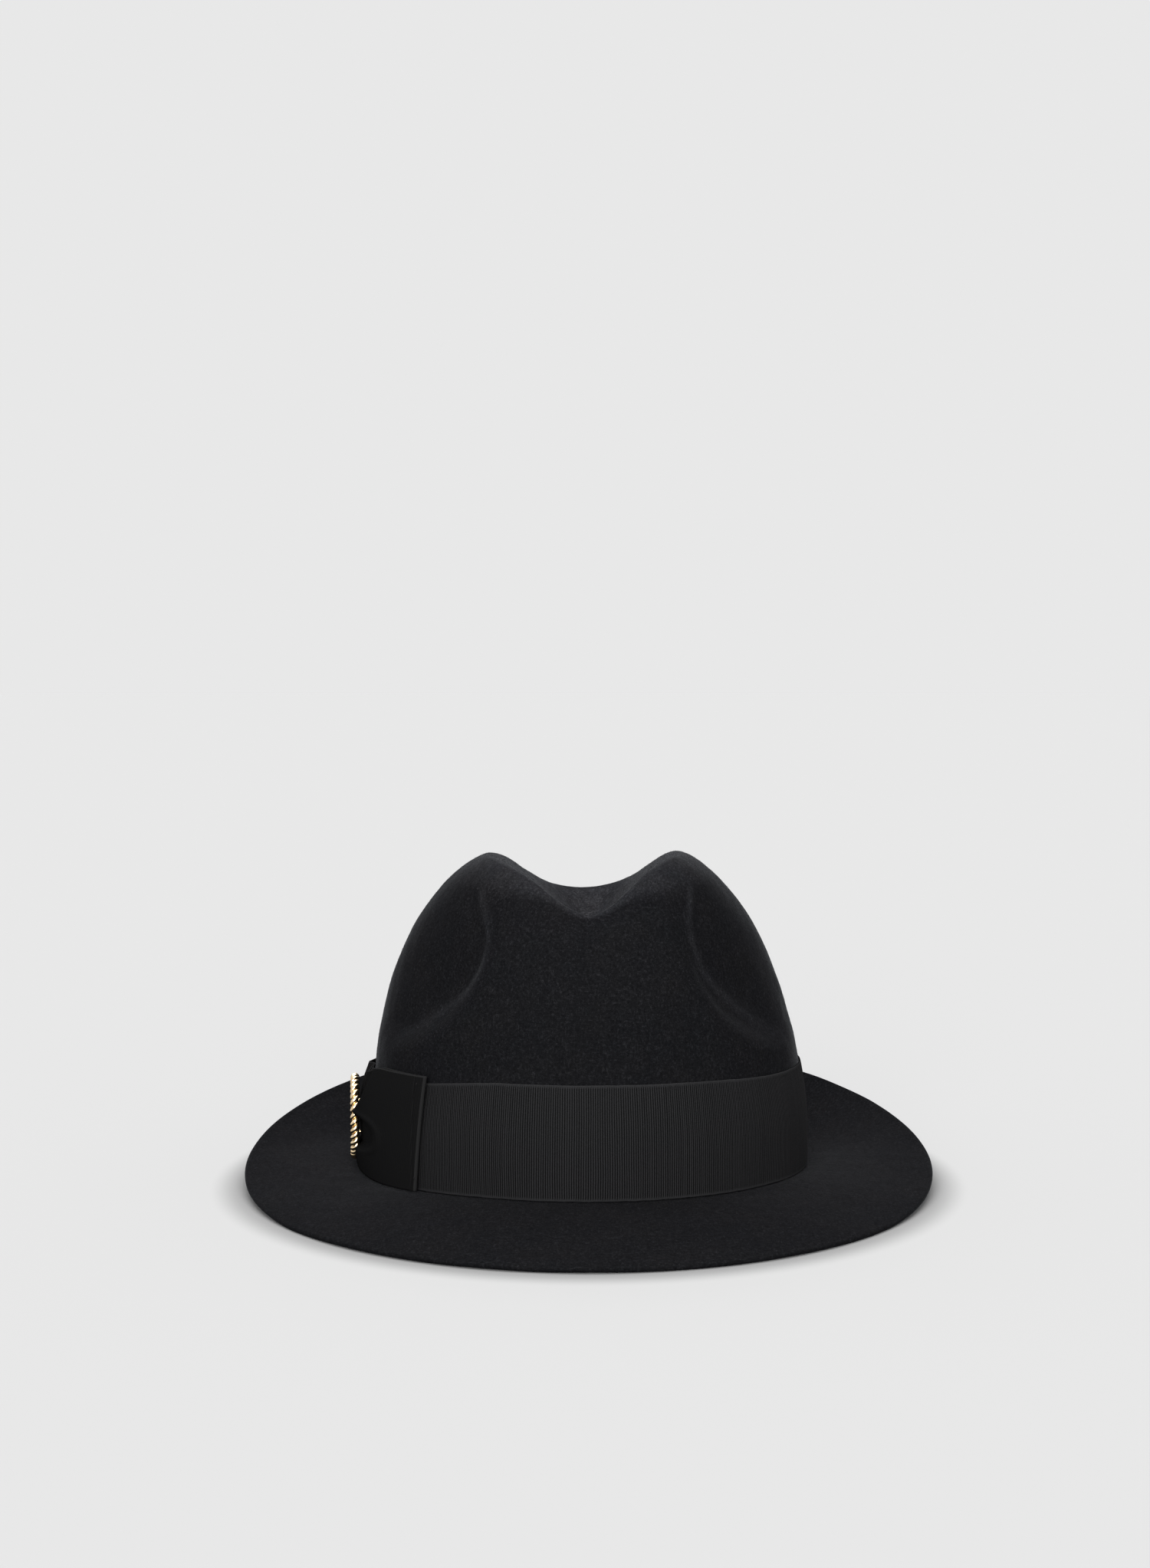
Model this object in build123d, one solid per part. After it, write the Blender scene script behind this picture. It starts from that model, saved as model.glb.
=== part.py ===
"""Snap-brim fedora: felt body, grosgrain band with side bow, cast ornament, sweatband and lining.

Units are millimetres. +Z is up and the front of the hat faces -Y. The origin is the centre of
the brim's outline, on the surface that the hat rests on. Angles round the hat start at the
front: 0 is the front, 90 is +X, 180 is the back.
"""
from build123d import *
import math
import os

# ---------------------------------------------------------------- driving dimensions
FELT = 2.2                   # thickness of the felt
RING_POINTS = 44             # points on each closed outline of the felt
WALL_STEPS = 12              # outlines from the ridge to the foot of the crown
WELL_STATIONS = (1.0, 0.8, 0.6, 0.4, 0.2)    # outlines of the crease, from its bottom up
BRIM_STATIONS = (0.15, 0.4, 0.65, 0.85)      # outlines of the brim, from the crown out
BAND_POINTS = 32             # points on each outline of the band, sweatband and lining

# head opening, where the crown meets the brim: a tilted oval
HEAD_A = 88.3                # half width of the crown at its foot
HEAD_B = 101.0               # half length of the crown at its foot
HEAD_Y = 1.5                 # centre of that oval
HEAD_Z = 7.4                 # height of the top of the felt there, at the oval's centre
HEAD_TILT = 5.0              # the front is this much higher than the centre, the back lower

# brim outline
BRIM_A = 139.0               # half width
BRIM_L = 152.5               # half length
BRIM_BACK = 30.2             # height of the turned-up edge at the back
BRIM_FROM = 0.6              # cosine of the angle where the edge starts to turn up
BRIM_POWER = 1.4             # how the turn-up grows towards the back
BRIM_DROP = 1.35             # shape of the slope at the front
BRIM_CURL = 1.90             # shape of the slope at the back
BRIM_CURL_FROM = 0.3         # cosine of the angle where one shape starts to give way to the other
EDGE_ROUND = 0.6             # rounding of the raw edge

# crown; the bow's side (-X) is a little fuller than the far side (+X)
RIDGE_A_BOW = 41.6           # half width of the ridge round the centre crease, on the bow's side
RIDGE_A_FAR = 37.2           # the same on the far side
RIDGE_B = 75.0               # half length of that ridge
RIDGE_Y = -3.0               # its centre
RIDGE_SQUARE = 0.92          # below 1 makes the ridge's outline squarer than an ellipse
RIDGE_TOP = 134.3            # height that the ridge levels off at
LIP_Z = 114.45               # bottom of the V at the front of the crease
LIP_SLOPE_BOW = 0.684        # slope of the V's side, on the bow's side
LIP_SLOPE_FAR = 0.963        # the same on the far side
LIP_ROUND = 7.9              # rounding at the bottom of the V
LIP_BLEND = 4.1              # rounding where the V's sides level off
REAR_Z = 111.15              # rear rim of the crease, at its lowest
REAR_X = -2.4                # where that is
REAR_BEND = 0.0131           # rise of the rear rim with the square of the distance to the side
REAR_FROM = 40.0             # the rear rim's height holds beyond this Y
REAR_BLEND = 90.0            # length over which it gives way to the V
CREASE_HALF = 1.2            # half width of the flat bottom of the crease
CREASE_FRONT = -55.0         # ends of the bottom of the crease
CREASE_BACK = 45.0
CREASE_Z = 99.0              # height of the bottom of the crease
CREASE_SLOPE = -0.02         # fall of the bottom of the crease towards the back
WALL_P_BOW = 3.0             # the two powers that give the crown's side its barrel shape
WALL_P_FAR = 2.3
WALL_Q_BOW = 0.74
WALL_Q_FAR = 0.685

# pinches at the two front corners of the crown: steep at the lower front, fading up and back
PINCH_ANGLE = 75.0           # angle of the middle of the oval that bounds each pinch
PINCH_Z = 108.0              # height of its middle
PINCH_SPREAD = 46.0          # half width, in degrees
PINCH_TALL = 50.0            # half height
PINCH_SQUARE = 2.5           # above 2 makes the oval squarer
PINCH_EDGE = 0.20            # share of the oval's radius taken by the slope at its border
PINCH_DEPTH = 7.0
PINCH_BACK = 50.0            # angle where the pinch starts to fade towards the back
PINCH_BACK_OVER = 42.0       # degrees that this takes
PINCH_TOP = 82.0             # height where it starts to fade towards the ridge
PINCH_TOP_OVER = 50.0        # height that this takes

# hatband and bow
BAND_H = 42.0                # width of the grosgrain ribbon
BAND_FOOT = 0.5              # clearance above the brim
BAND_GAP = 0.25              # clearance to the felt
BAND_T = 0.7                 # thickness of the ribbon
BAND_BULGE = 0.5             # how much the ribbon stands out at mid height
BOW_GAP = 0.3                # clearance between the band and the bow
BOW_Y = -10.0                # middle of the bow, on the -X side
BOW_FRONT_Y = -72.0          # fold at the end of the front loop
BOW_REAR_Y = 50.0            # fold at the end of the rear loop
BOW_FOLD_T = 1.6             # thickness of a loop at its fold
BOW_MID_T = 4.0              # thickness of a loop where it is fullest
WRAP_HALF = 6.0              # half length of the wrap round the middle of the bow
WRAP_T = 3.6                 # how far the wrap stands out from the band

# ornament
ORN_TALL = 33.6              # outside height of the oval
ORN_LONG = 25.0              # outside length of the oval
ORN_STRAND = 1.3             # radius of the oval's bar
ORN_LINK = 4.6               # radius of each linked ring inside the oval
ORN_LINK_T = 1.05            # radius of the bar of those rings
ORN_Z = 26.0                 # height of the ornament's middle
ORN_STAND = 1.8              # distance from the wrap to the middle of the ornament's bars
POST_R = 0.8                 # radius of the two posts behind the ornament

# sweatband and lining, from the outside of the felt inwards
LINING_T = 0.3
LINING_OUT = FELT + 0.25     # outside of the lining, behind the sweatband
SWEAT_OUT = 3.0              # outside of the sweatband
SWEAT_T = 0.9
SWEAT_FOOT = 1.5             # lower edge of the sweatband above the head opening's plane
SWEAT_H = 38.0               # upper edge of the sweatband
REED_R = 0.9                 # radius of the plastic reed in the sweatband's lower edge
TAPE_T = 0.35                # thickness of the tape round the reed
LINING_FOOT = 5.0            # lower edge of the lining
TIP_H = 82.0                 # height of the lining's top above the head opening's plane
TIP_IN = 17.0                # how far the lining's top lies inside the crown's outline
TIP_CURVE = 1.25             # power of the curve that takes the lining in to its top
PIPING_R = 1.0               # radius of the covered cord at the lining's top
PIPING_IN = 1.6              # how far the cord's middle lies inside the lining's side
SHIELD_T = 0.25              # thickness of the clear sheet
SHIELD_IN = 24.0             # how far its rim lies inside the lining's side
SHIELD_DROP = 0.7            # how far it hangs below the lining's top
STITCH_R = 0.3               # radius of the thread
STITCH_GAP = 0.1             # clearance between the thread and what it lies on
STITCH_COUNT = 80            # stitches round the sweatband
STITCH_LONG = 4.5
SEAM_FOOT = 19.5             # lowest stitch of the zigzag
SEAM_STEP = 2.2
SEAM_COUNT = 8
SEAM_LONG = 3.6
SEAM_LEAN = 25
TACK_LONG = 1.6              # length of each tack on the band and the bow
TACK_ANGLES = (20, 60, 100, 140, 180, 220)   # places of the ribbon's tacks, in degrees

# snap brim
FRONT_HINGE_Y = -104.0       # line that the front of the brim bends about
REAR_HINGE_Y = 107.0         # line that the back of the brim bends about
FRONT_GAP = 0.4              # half the gap at the front line
REAR_GAP = 1.4               # half the gap at the back line

FAR = 400.0                  # size of a cutting block


# ---------------------------------------------------------------- shape of the hat
def smooth(t):
    """Rise from 0 to 1 with no corner at either end."""
    t = min(max(t, 0.0), 1.0)
    return t * t * (3 - 2 * t)


def signed_power(value, power):
    return math.copysign(abs(value) ** power, value)


def head_plane_z(y):
    """Height of the tilted plane of the head opening."""
    return HEAD_Z - HEAD_TILT * (y - HEAD_Y) / HEAD_B


def head_point(a):
    """Foot of the crown at angle a."""
    y = HEAD_Y - HEAD_B * math.cos(a)
    return Vector(HEAD_A * math.sin(a), y, head_plane_z(y))


def brim_edge(a):
    """Top of the brim's outer edge at angle a."""
    turn = max(BRIM_FROM - math.cos(a), 0.0) / (1 + BRIM_FROM)
    z = FELT + (BRIM_BACK - FELT) * turn ** BRIM_POWER
    return Vector(BRIM_A * math.sin(a), -BRIM_L * math.cos(a), z)


def between(a, bow, far):
    """Value that goes from bow at -X to far at +X round the crown."""
    return bow + (far - bow) * (1 + math.sin(a)) / 2


def ridge_point(a):
    """Ridge round the centre crease at angle a, before the pinches."""
    x = between(a, RIDGE_A_BOW, RIDGE_A_FAR) * signed_power(math.sin(a), RIDGE_SQUARE)
    y = RIDGE_Y - RIDGE_B * signed_power(math.cos(a), RIDGE_SQUARE)
    slope = between(a, LIP_SLOPE_BOW, LIP_SLOPE_FAR)
    front = LIP_Z + slope * (math.hypot(x, LIP_ROUND) - LIP_ROUND)
    front = -LIP_BLEND * math.log(math.exp(-front / LIP_BLEND) + math.exp(-RIDGE_TOP / LIP_BLEND))
    rear = REAR_Z + REAR_BEND * (x - REAR_X) ** 2
    share = smooth((REAR_FROM - y) / REAR_BLEND)
    return Vector(x, y, share * front + (1 - share) * rear)


def crease_point(a):
    """Flat bottom of the centre crease at angle a."""
    middle = (CREASE_FRONT + CREASE_BACK) / 2
    half = (CREASE_BACK - CREASE_FRONT) / 2
    y = middle - half * math.cos(a)
    return Vector(CREASE_HALF * math.sin(a), y, CREASE_Z + CREASE_SLOPE * y)


def wall_plan(a, rise):
    """Place of the crown's side in plan, at a share rise of its height."""
    foot, ridge = head_point(a), ridge_point(a)
    wall_p, wall_q = between(a, WALL_P_BOW, WALL_P_FAR), between(a, WALL_Q_BOW, WALL_Q_FAR)
    out = (1 - min(rise, 1.0) ** wall_p) ** wall_q
    return ridge.X + (foot.X - ridge.X) * out, ridge.Y + (foot.Y - ridge.Y) * out


def pinched(a, point):
    """Push a point of the crown in where a pinch covers it."""
    side = abs(math.degrees(math.atan2(math.sin(a), math.cos(a))))
    across, up = abs((side - PINCH_ANGLE) / PINCH_SPREAD), abs((point.Z - PINCH_Z) / PINCH_TALL)
    reach = (across ** PINCH_SQUARE + up ** PINCH_SQUARE) ** (1 / PINCH_SQUARE)
    depth = PINCH_DEPTH * smooth((1 - reach) / PINCH_EDGE)
    depth *= 1 - smooth((side - PINCH_BACK) / PINCH_BACK_OVER)
    depth *= 1 - smooth((point.Z - PINCH_TOP) / PINCH_TOP_OVER)
    return point + Vector(-math.sin(a), math.cos(a)) * depth


def wall_point(a, t):
    """Outside of the crown's side: t is 0 at its foot and 1 at the ridge."""
    rise = math.sin(t * math.pi / 2)
    x, y = wall_plan(a, rise)
    foot, ridge = head_point(a), ridge_point(a)
    return pinched(a, Vector(x, y, foot.Z + (ridge.Z - foot.Z) * rise))


def well_point(a, t):
    """Inside of the centre crease: t is 0 at the ridge and 1 at the bottom."""
    ridge, bottom = ridge_point(a), crease_point(a)
    drop = (1 - math.cos(math.pi * t)) / 2
    moved = (pinched(a, ridge) - ridge) * (1 - smooth(1.6 * t))
    flat = ridge + (bottom - ridge) * t
    return Vector(flat.X, flat.Y, ridge.Z + (bottom.Z - ridge.Z) * drop) + moved


def brim_point(a, u):
    """Top of the brim: u is 0 at the crown and 1 at the edge."""
    foot, edge = head_point(a), brim_edge(a)
    back = smooth((BRIM_CURL_FROM - math.cos(a)) / (1 + BRIM_CURL_FROM))
    power = BRIM_DROP + (BRIM_CURL - BRIM_DROP) * back
    flat = foot + (edge - foot) * u
    return Vector(flat.X, flat.Y, foot.Z + (edge.Z - foot.Z) * u ** power)


def angles(count):
    return [2 * math.pi * i / count for i in range(count)]


def closed_wire(points):
    return Wire([Edge.make_spline(points, periodic=True)])


# ---------------------------------------------------------------- felt
def felt_solid():
    """The whole felt as one closed skin: crease, crown, brim, edge, underside and inside."""
    well = [lambda a, t=t: well_point(a, t) for t in WELL_STATIONS]
    wall = [lambda a, t=1 - k / WALL_STEPS: wall_point(a, t) for k in range(WALL_STEPS)]
    brim = [lambda a, u=u: brim_point(a, u) for u in BRIM_STATIONS]
    corner = len(well) + len(wall)
    stations = well + wall + [head_point] + brim + [brim_edge]
    turns = angles(RING_POINTS)
    outer = [[station(a) for a in turns] for station in stations]

    def across(j, k, i):
        """Unit normal out of the felt, from station j to k, at turn i."""
        along = outer[k][i] - outer[j][i]
        after = outer[j][(i + 1) % RING_POINTS] - outer[j][i - 1]
        return after.cross(along).normalized() * -1

    def shift(k, i):
        """Step from the inside of the felt to its outside."""
        if k == 0:
            return Vector(0, 0, FELT)
        if k == corner:
            return (across(k - 1, k, i) + across(k, k + 1, i)) * FELT
        return across(k - 1, k + 1, i) * FELT

    turn_numbers = range(RING_POINTS)
    inner = [[outer[k][i] - shift(k, i) for i in turn_numbers] for k in range(len(outer) - 1)]
    rim = outer.pop()
    inwards = [Vector(-math.sin(a), math.cos(a)) * EDGE_ROUND for a in turns]
    edge = [[p + d for p, d in zip(rim, inwards)],
            [p - Vector(0, 0, FELT / 2) for p in rim],
            [p + d - Vector(0, 0, FELT) for p, d in zip(rim, inwards)]]
    rings = outer + edge + inner[::-1]
    return Solid.make_loft([closed_wire(ring) for ring in rings], ruled=True)


def half_space(y, side):
    """Block that fills everything beyond y, towards side."""
    return Pos(0, y + side * FAR / 2, 0) * Box(FAR, FAR, FAR)


def felt_parts():
    """Crown with the sides of the brim, and the two parts of the brim that snap."""
    felt = felt_solid()
    front = felt & half_space(FRONT_HINGE_Y - FRONT_GAP, -1)
    rear = felt & half_space(REAR_HINGE_Y + REAR_GAP, 1)
    crown = felt - half_space(FRONT_HINGE_Y + FRONT_GAP, -1) - half_space(REAR_HINGE_Y - REAR_GAP, 1)
    return crown, front, rear


# ---------------------------------------------------------------- rings that follow the crown
def band_point(a, height, out):
    """Point of the crown's side at a height above the head opening's plane, moved outwards."""
    rise = height / (ridge_point(a).Z - head_point(a).Z)
    x, y = wall_plan(a, max(rise, 0.0))
    normal = Vector(x / HEAD_A ** 2, (y - HEAD_Y) / HEAD_B ** 2).normalized()
    place = Vector(x, y) + normal * out
    return Vector(place.X, place.Y, head_plane_z(place.Y) + height)


def band_wire(height, out):
    """Outline at one height. out is a distance or a function of the angle."""
    reach = out if callable(out) else (lambda a: out)
    return closed_wire([band_point(a, height, reach(a)) for a in angles(BAND_POINTS)])


def heights(low, high, step=8.5):
    """Evenly spaced heights from low to high, close enough to follow the crown's curve."""
    count = math.ceil((high - low) / step)
    return [low + (high - low) * k / count for k in range(count + 1)]


def ring(levels):
    """Closed ring round the crown. levels holds (height, inner distance, outer distance)."""
    (low, low_in, _), (high, high_in, _) = levels[0], levels[-1]
    outside = [band_wire(h, out) for h, _, out in levels]
    inside = [band_wire(low - 1, low_in)] + [band_wire(h, i) for h, i, _ in levels]
    inside.append(band_wire(high + 1, high_in))
    return Solid.make_loft(outside, ruled=True) - Solid.make_loft(inside, ruled=True)


def bulge(height):
    """How far the ribbon's outside stands from the felt at a height."""
    t = (height - BAND_FOOT) / (BAND_H - BAND_FOOT)
    return BAND_GAP + BAND_T + BAND_BULGE * math.sin(math.pi * t)


def hatband_ribbon():
    return ring([(h, BAND_GAP, bulge(h)) for h in heights(BAND_FOOT, BAND_H)])


# ---------------------------------------------------------------- bow on the -X side
BOW_IN = BAND_GAP + BAND_T + BAND_BULGE + BOW_GAP


def side_box(y_low, y_high):
    """Block on the -X side between two values of Y."""
    return Pos(-FAR / 4, (y_low + y_high) / 2, 0) * Box(FAR / 2, y_high - y_low, FAR)


def bow_loop(y_fold, y_inner):
    """Flattened loop of ribbon, thin at its fold and full in the middle."""
    def thickness(a):
        y = band_point(a, BAND_H / 2, 0).Y
        t = min(max((y - y_fold) / (y_inner - y_fold), 0.0), 1.0)
        return BOW_IN + BOW_FOLD_T + (BOW_MID_T - BOW_FOLD_T) * smooth(t)
    levels = [(h, BOW_IN, thickness) for h in heights(BAND_FOOT, BAND_H)]
    return ring(levels) & side_box(min(y_fold, y_inner), max(y_fold, y_inner))


def bow_parts():
    front = bow_loop(BOW_FRONT_Y, BOW_Y - WRAP_HALF - BOW_GAP)
    rear = bow_loop(BOW_REAR_Y, BOW_Y + WRAP_HALF + BOW_GAP)
    wrap_levels = [(h, BOW_IN, BOW_IN + WRAP_T) for h in heights(BAND_FOOT + 1.0, BAND_H - 1.0)]
    wrap = ring(wrap_levels) & side_box(BOW_Y - WRAP_HALF, BOW_Y + WRAP_HALF)
    return front, rear, wrap


def angle_at_y(y):
    """Angle on the -X side where the crown's foot passes y."""
    return -math.acos((HEAD_Y - y) / HEAD_B)


# ---------------------------------------------------------------- ornament
def ornament_plane():
    """Plane of the ornament: its middle, its normal away from the hat, its x along the hat."""
    a = angle_at_y(BOW_Y)
    height = ORN_Z - head_plane_z(BOW_Y)
    middle = band_point(a, height, BOW_IN + WRAP_T + ORN_STAND)
    along = band_point(a + 0.02, height, 0) - band_point(a - 0.02, height, 0)
    along = Vector(along.X, along.Y, 0).normalized()
    return Plane(origin=middle, x_dir=along, z_dir=along.cross(Vector(0, 0, 1)))


def ornament_casting(plane):
    """Open oval bar with three linked rings inside it, cast in one piece."""
    half_tall, half_long = ORN_TALL / 2 - ORN_STRAND, ORN_LONG / 2 - ORN_STRAND
    oval = Edge.make_ellipse(half_tall, half_long)
    start = Plane(origin=oval @ 0, z_dir=oval % 0)
    casting = sweep(start * Circle(ORN_STRAND), path=oval)
    reach = half_tall - ORN_LINK
    for k in (-1, 0, 1):
        casting += Pos(k * reach, 0, 0) * Torus(ORN_LINK, ORN_LINK_T)
    return plane * Rot(0, 0, 90) * casting


def ornament_parts(wrap):
    plane = ornament_plane()
    casting = ornament_casting(plane)
    posts = []
    for side in (-1, 1):
        spot = Pos(0, side * (ORN_TALL / 2 - ORN_STRAND - 2 * ORN_LINK), 0)
        posts.append(plane * spot * Pos(0, 0, -ORN_STAND / 2 - 0.5) * Cylinder(POST_R, ORN_STAND + 1.0))
    holes = [plane * Pos(0, side * (ORN_TALL / 2 - ORN_STRAND - 2 * ORN_LINK), -ORN_STAND)
             * Cylinder(POST_R + 0.05, 2 * ORN_STAND) for side in (-1, 1)]
    posts = [post - casting for post in posts]
    for hole in holes:
        wrap = wrap - hole
    return casting, posts, wrap


# ---------------------------------------------------------------- sweatband
def sweatband():
    return ring([(h, -SWEAT_OUT - SWEAT_T, -SWEAT_OUT) for h in heights(SWEAT_FOOT, SWEAT_H)])


def tube_levels(middle_out, middle_height, radius):
    """Levels of a round bar that follows the crown's inside."""
    levels = []
    for turn in (-75, -45, -15, 15, 45, 75):
        half = radius * math.cos(math.radians(turn))
        height = middle_height + radius * math.sin(math.radians(turn))
        levels.append((height, middle_out - half, middle_out + half))
    return levels


REED_OUT = -SWEAT_OUT - SWEAT_T / 2 - 0.4
REED_HEIGHT = SWEAT_FOOT - REED_R - TAPE_T - 0.35


def sweatband_reed():
    return ring(tube_levels(REED_OUT, REED_HEIGHT, REED_R))


def reed_tape():
    """Tape folded under the reed, open at its top."""
    radius = REED_R + TAPE_T + 0.1
    top = REED_HEIGHT + REED_R * 0.5
    levels = [level for level in tube_levels(REED_OUT, REED_HEIGHT, radius) if level[0] < top]
    hollow = tube_levels(REED_OUT, REED_HEIGHT, REED_R + 0.1)
    hollow = [level for level in hollow if level[0] < 0.3 + REED_HEIGHT]
    hollow.append((top + 1, hollow[-1][1], hollow[-1][2]))
    return ring(levels) - ring(hollow)


def stitch(a, height, out, length, lean=0.0):
    """Short round stitch that lies along the crown at angle a, turned up by lean degrees."""
    middle = band_point(a, height, out)
    along = band_point(a + 0.01, height, out) - band_point(a - 0.01, height, out)
    plane = Plane(origin=middle, x_dir=along.normalized(), z_dir=along.cross(Vector(0, 0, 1)).normalized())
    return plane * Rot(0, 0, lean) * Rot(0, 90, 0) * Cylinder(STITCH_R, length)


def sweatband_stitches():
    """Row of stitches that holds the sweatband, just above its lower edge."""
    inside = -SWEAT_OUT - SWEAT_T - STITCH_R - STITCH_GAP
    return [stitch(a, SWEAT_FOOT + 2.0, inside, STITCH_LONG) for a in angles(STITCH_COUNT)]


def sweatband_seam():
    """Zigzag that joins the two ends of the sweatband at the back."""
    inside = -SWEAT_OUT - SWEAT_T - STITCH_R - STITCH_GAP
    rows = [SEAM_FOOT + SEAM_STEP * k for k in range(SEAM_COUNT)]
    return [stitch(math.pi, row, inside, SEAM_LONG, lean=SEAM_LEAN * (-1) ** k)
            for k, row in enumerate(rows)]


def sweatband_bow():
    """Small ribbon bow at the back of the sweatband: two loops, two tails and a knot."""
    inside = SWEAT_OUT + SWEAT_T + 1.8
    middle = band_point(math.pi, SWEAT_FOOT + 9.0, -inside)
    plane = Plane(origin=middle, x_dir=(1, 0, 0), z_dir=(0, -1, 0))
    pieces = [fillet(Box(3.0, 3.4, 1.6).edges(), 0.5)]
    for side in (-1, 1):
        loop = Pos(side * 6.0, 0.8, 0) * Rot(0, 0, side * 8) * fillet(Box(8.0, 5.0, 1.2).edges(), 0.4)
        tail = Pos(side * 2.8, -4.6, 0) * Rot(0, 0, side * 25) * fillet(Box(3.0, 5.0, 0.5).edges(), 0.15)
        pieces += [loop, tail]
    return [plane * piece for piece in pieces]


# ---------------------------------------------------------------- lining
def lining_side():
    """Side of the lining: behind the sweatband, then in to the tip."""
    levels = []
    for height in heights(LINING_FOOT, TIP_H - 0.6):
        inwards = max(height - SWEAT_H, 0.0) / (TIP_H - SWEAT_H)
        out = -LINING_OUT - TIP_IN * inwards ** TIP_CURVE
        levels.append((height, out - LINING_T, out))
    return ring(levels)


def oval_disc(height, thickness, inset):
    """Flat disc across the crown at a height above the head opening's plane."""
    rims = [band_wire(height + shift, -inset) for shift in (0.0, thickness)]
    return Solid.make_loft(rims, ruled=True)


def lining_tip():
    return oval_disc(TIP_H, LINING_T, LINING_OUT + TIP_IN - 1.0)


def lining_piping():
    """Cord that covers the seam between the lining's side and its tip."""
    middle = -LINING_OUT - TIP_IN - LINING_T - PIPING_IN
    return ring(tube_levels(middle, TIP_H - 0.3 - PIPING_R, PIPING_R))


def tip_shield():
    """Clear sheet under the lining's tip."""
    return oval_disc(TIP_H - SHIELD_DROP, SHIELD_T, LINING_OUT + TIP_IN + SHIELD_IN)


# ---------------------------------------------------------------- stitches on the band and bow
def ribbon_tacks():
    """Tacks that hold the ribbon's upper edge to the crown."""
    height = BAND_H - 1.5
    out = bulge(height) + STITCH_R + STITCH_GAP
    return [stitch(math.radians(d), height, out, TACK_LONG, lean=90) for d in TACK_ANGLES]


def bow_tacks():
    """Tacks at the corners of the bow's two folds."""
    tacks = []
    for y, step in ((BOW_FRONT_Y, 1), (BOW_REAR_Y, -1)):
        a = angle_at_y(y + step * 3.0)
        out = BOW_IN + BOW_FOLD_T + STITCH_R + 0.35
        tacks += [stitch(a, height, out, TACK_LONG, lean=90) for height in (3.5, BAND_H - 2.5)]
    return tacks


# ---------------------------------------------------------------- all nodes
def build():
    crown, brim_front, brim_rear = felt_parts()
    loop_front, loop_rear, wrap = bow_parts()
    casting, posts, wrap = ornament_parts(wrap)
    return {
        "felt_crown": crown,
        "felt_brim_front": brim_front,
        "felt_brim_rear": brim_rear,
        "hatband_ribbon": hatband_ribbon(),
        "ribbon_tacks": ribbon_tacks(),
        "bow_front_loop": loop_front,
        "bow_rear_loop": loop_rear,
        "bow_wrap": wrap,
        "bow_tacks": bow_tacks(),
        "ornament": casting,
        "ornament_posts": posts,
        "sweatband": sweatband(),
        "sweatband_reed": sweatband_reed(),
        "reed_tape": reed_tape(),
        "sweatband_stitches": sweatband_stitches(),
        "sweatband_seam": sweatband_seam(),
        "sweatband_bow": sweatband_bow(),
        "lining_side": lining_side(),
        "lining_tip": lining_tip(),
        "lining_piping": lining_piping(),
        "tip_shield": tip_shield(),
    }


def solids_of(shape):
    """Solids of one node, whether it is one shape or a list of them."""
    parts = shape if isinstance(shape, list) else [shape]
    return [solid for part in parts for solid in part.solids()]


os.makedirs("parts", exist_ok=True)
for name, shape in build().items():
    pieces = solids_of(shape)
    export_step(pieces[0] if len(pieces) == 1 else Compound(children=pieces), f"parts/{name}.step")
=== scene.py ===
import math

import bmesh
import bpy
import numpy as np
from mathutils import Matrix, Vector


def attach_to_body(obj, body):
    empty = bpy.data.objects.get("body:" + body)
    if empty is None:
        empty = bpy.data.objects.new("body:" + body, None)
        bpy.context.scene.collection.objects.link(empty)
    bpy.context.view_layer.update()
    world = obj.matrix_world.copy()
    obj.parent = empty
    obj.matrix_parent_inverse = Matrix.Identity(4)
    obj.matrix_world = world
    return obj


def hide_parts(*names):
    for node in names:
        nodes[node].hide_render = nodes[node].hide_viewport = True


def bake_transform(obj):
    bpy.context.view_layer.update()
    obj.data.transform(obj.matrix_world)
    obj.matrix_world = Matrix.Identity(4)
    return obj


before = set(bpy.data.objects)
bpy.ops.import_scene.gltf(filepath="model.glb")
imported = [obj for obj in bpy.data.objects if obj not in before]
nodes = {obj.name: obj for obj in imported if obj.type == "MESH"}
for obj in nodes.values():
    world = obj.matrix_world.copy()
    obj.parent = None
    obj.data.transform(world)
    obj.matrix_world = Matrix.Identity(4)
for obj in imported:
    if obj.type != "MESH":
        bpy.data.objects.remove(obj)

# Lengths in this script are millimetres until a mesh is made; MM turns them into metres.
MM = 0.001
TAU = 2 * math.pi
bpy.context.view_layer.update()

# ---------------------------------------------------------------- the hat's sizes, as in the CAD
# A name with BOW is for the bow's side (-X), and one with FAR is for the other side.
FELT = 2.2

# Head opening: half width, half length, middle, height there, and how much lower its back is.
HEAD_A, HEAD_B, HEAD_Y, HEAD_Z, HEAD_TILT = 88.3, 101.0, 1.5, 7.4, 5.0

# Brim: half width, half length and height of its back edge, then how it rises and curls.
BRIM_A, BRIM_L, BRIM_BACK = 139.0, 152.5, 30.2
BRIM_FROM, BRIM_POWER, BRIM_DROP, BRIM_CURL, CURL_FROM = 0.6, 1.4, 1.35, 1.90, 0.3

# Ridge round the crease: its plan, its V-shaped lip at the front and its shape at the rear.
RIDGE_A_BOW, RIDGE_A_FAR, RIDGE_B, RIDGE_Y = 41.6, 37.2, 75.0, -3.0
RIDGE_SQUARE, RIDGE_TOP = 0.92, 134.3
LIP_Z, LIP_SLOPE_BOW, LIP_SLOPE_FAR, LIP_ROUND, LIP_BLEND = 114.45, 0.684, 0.963, 7.9, 4.1
REAR_Z, REAR_X, REAR_BEND, REAR_FROM, REAR_BLEND = 111.15, -2.4, 0.0131, 40.0, 90.0
CREASE_FRONT, CREASE_BACK, CREASE_Z, CREASE_SLOPE = -55.0, 45.0, 99.0, -0.02

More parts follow.
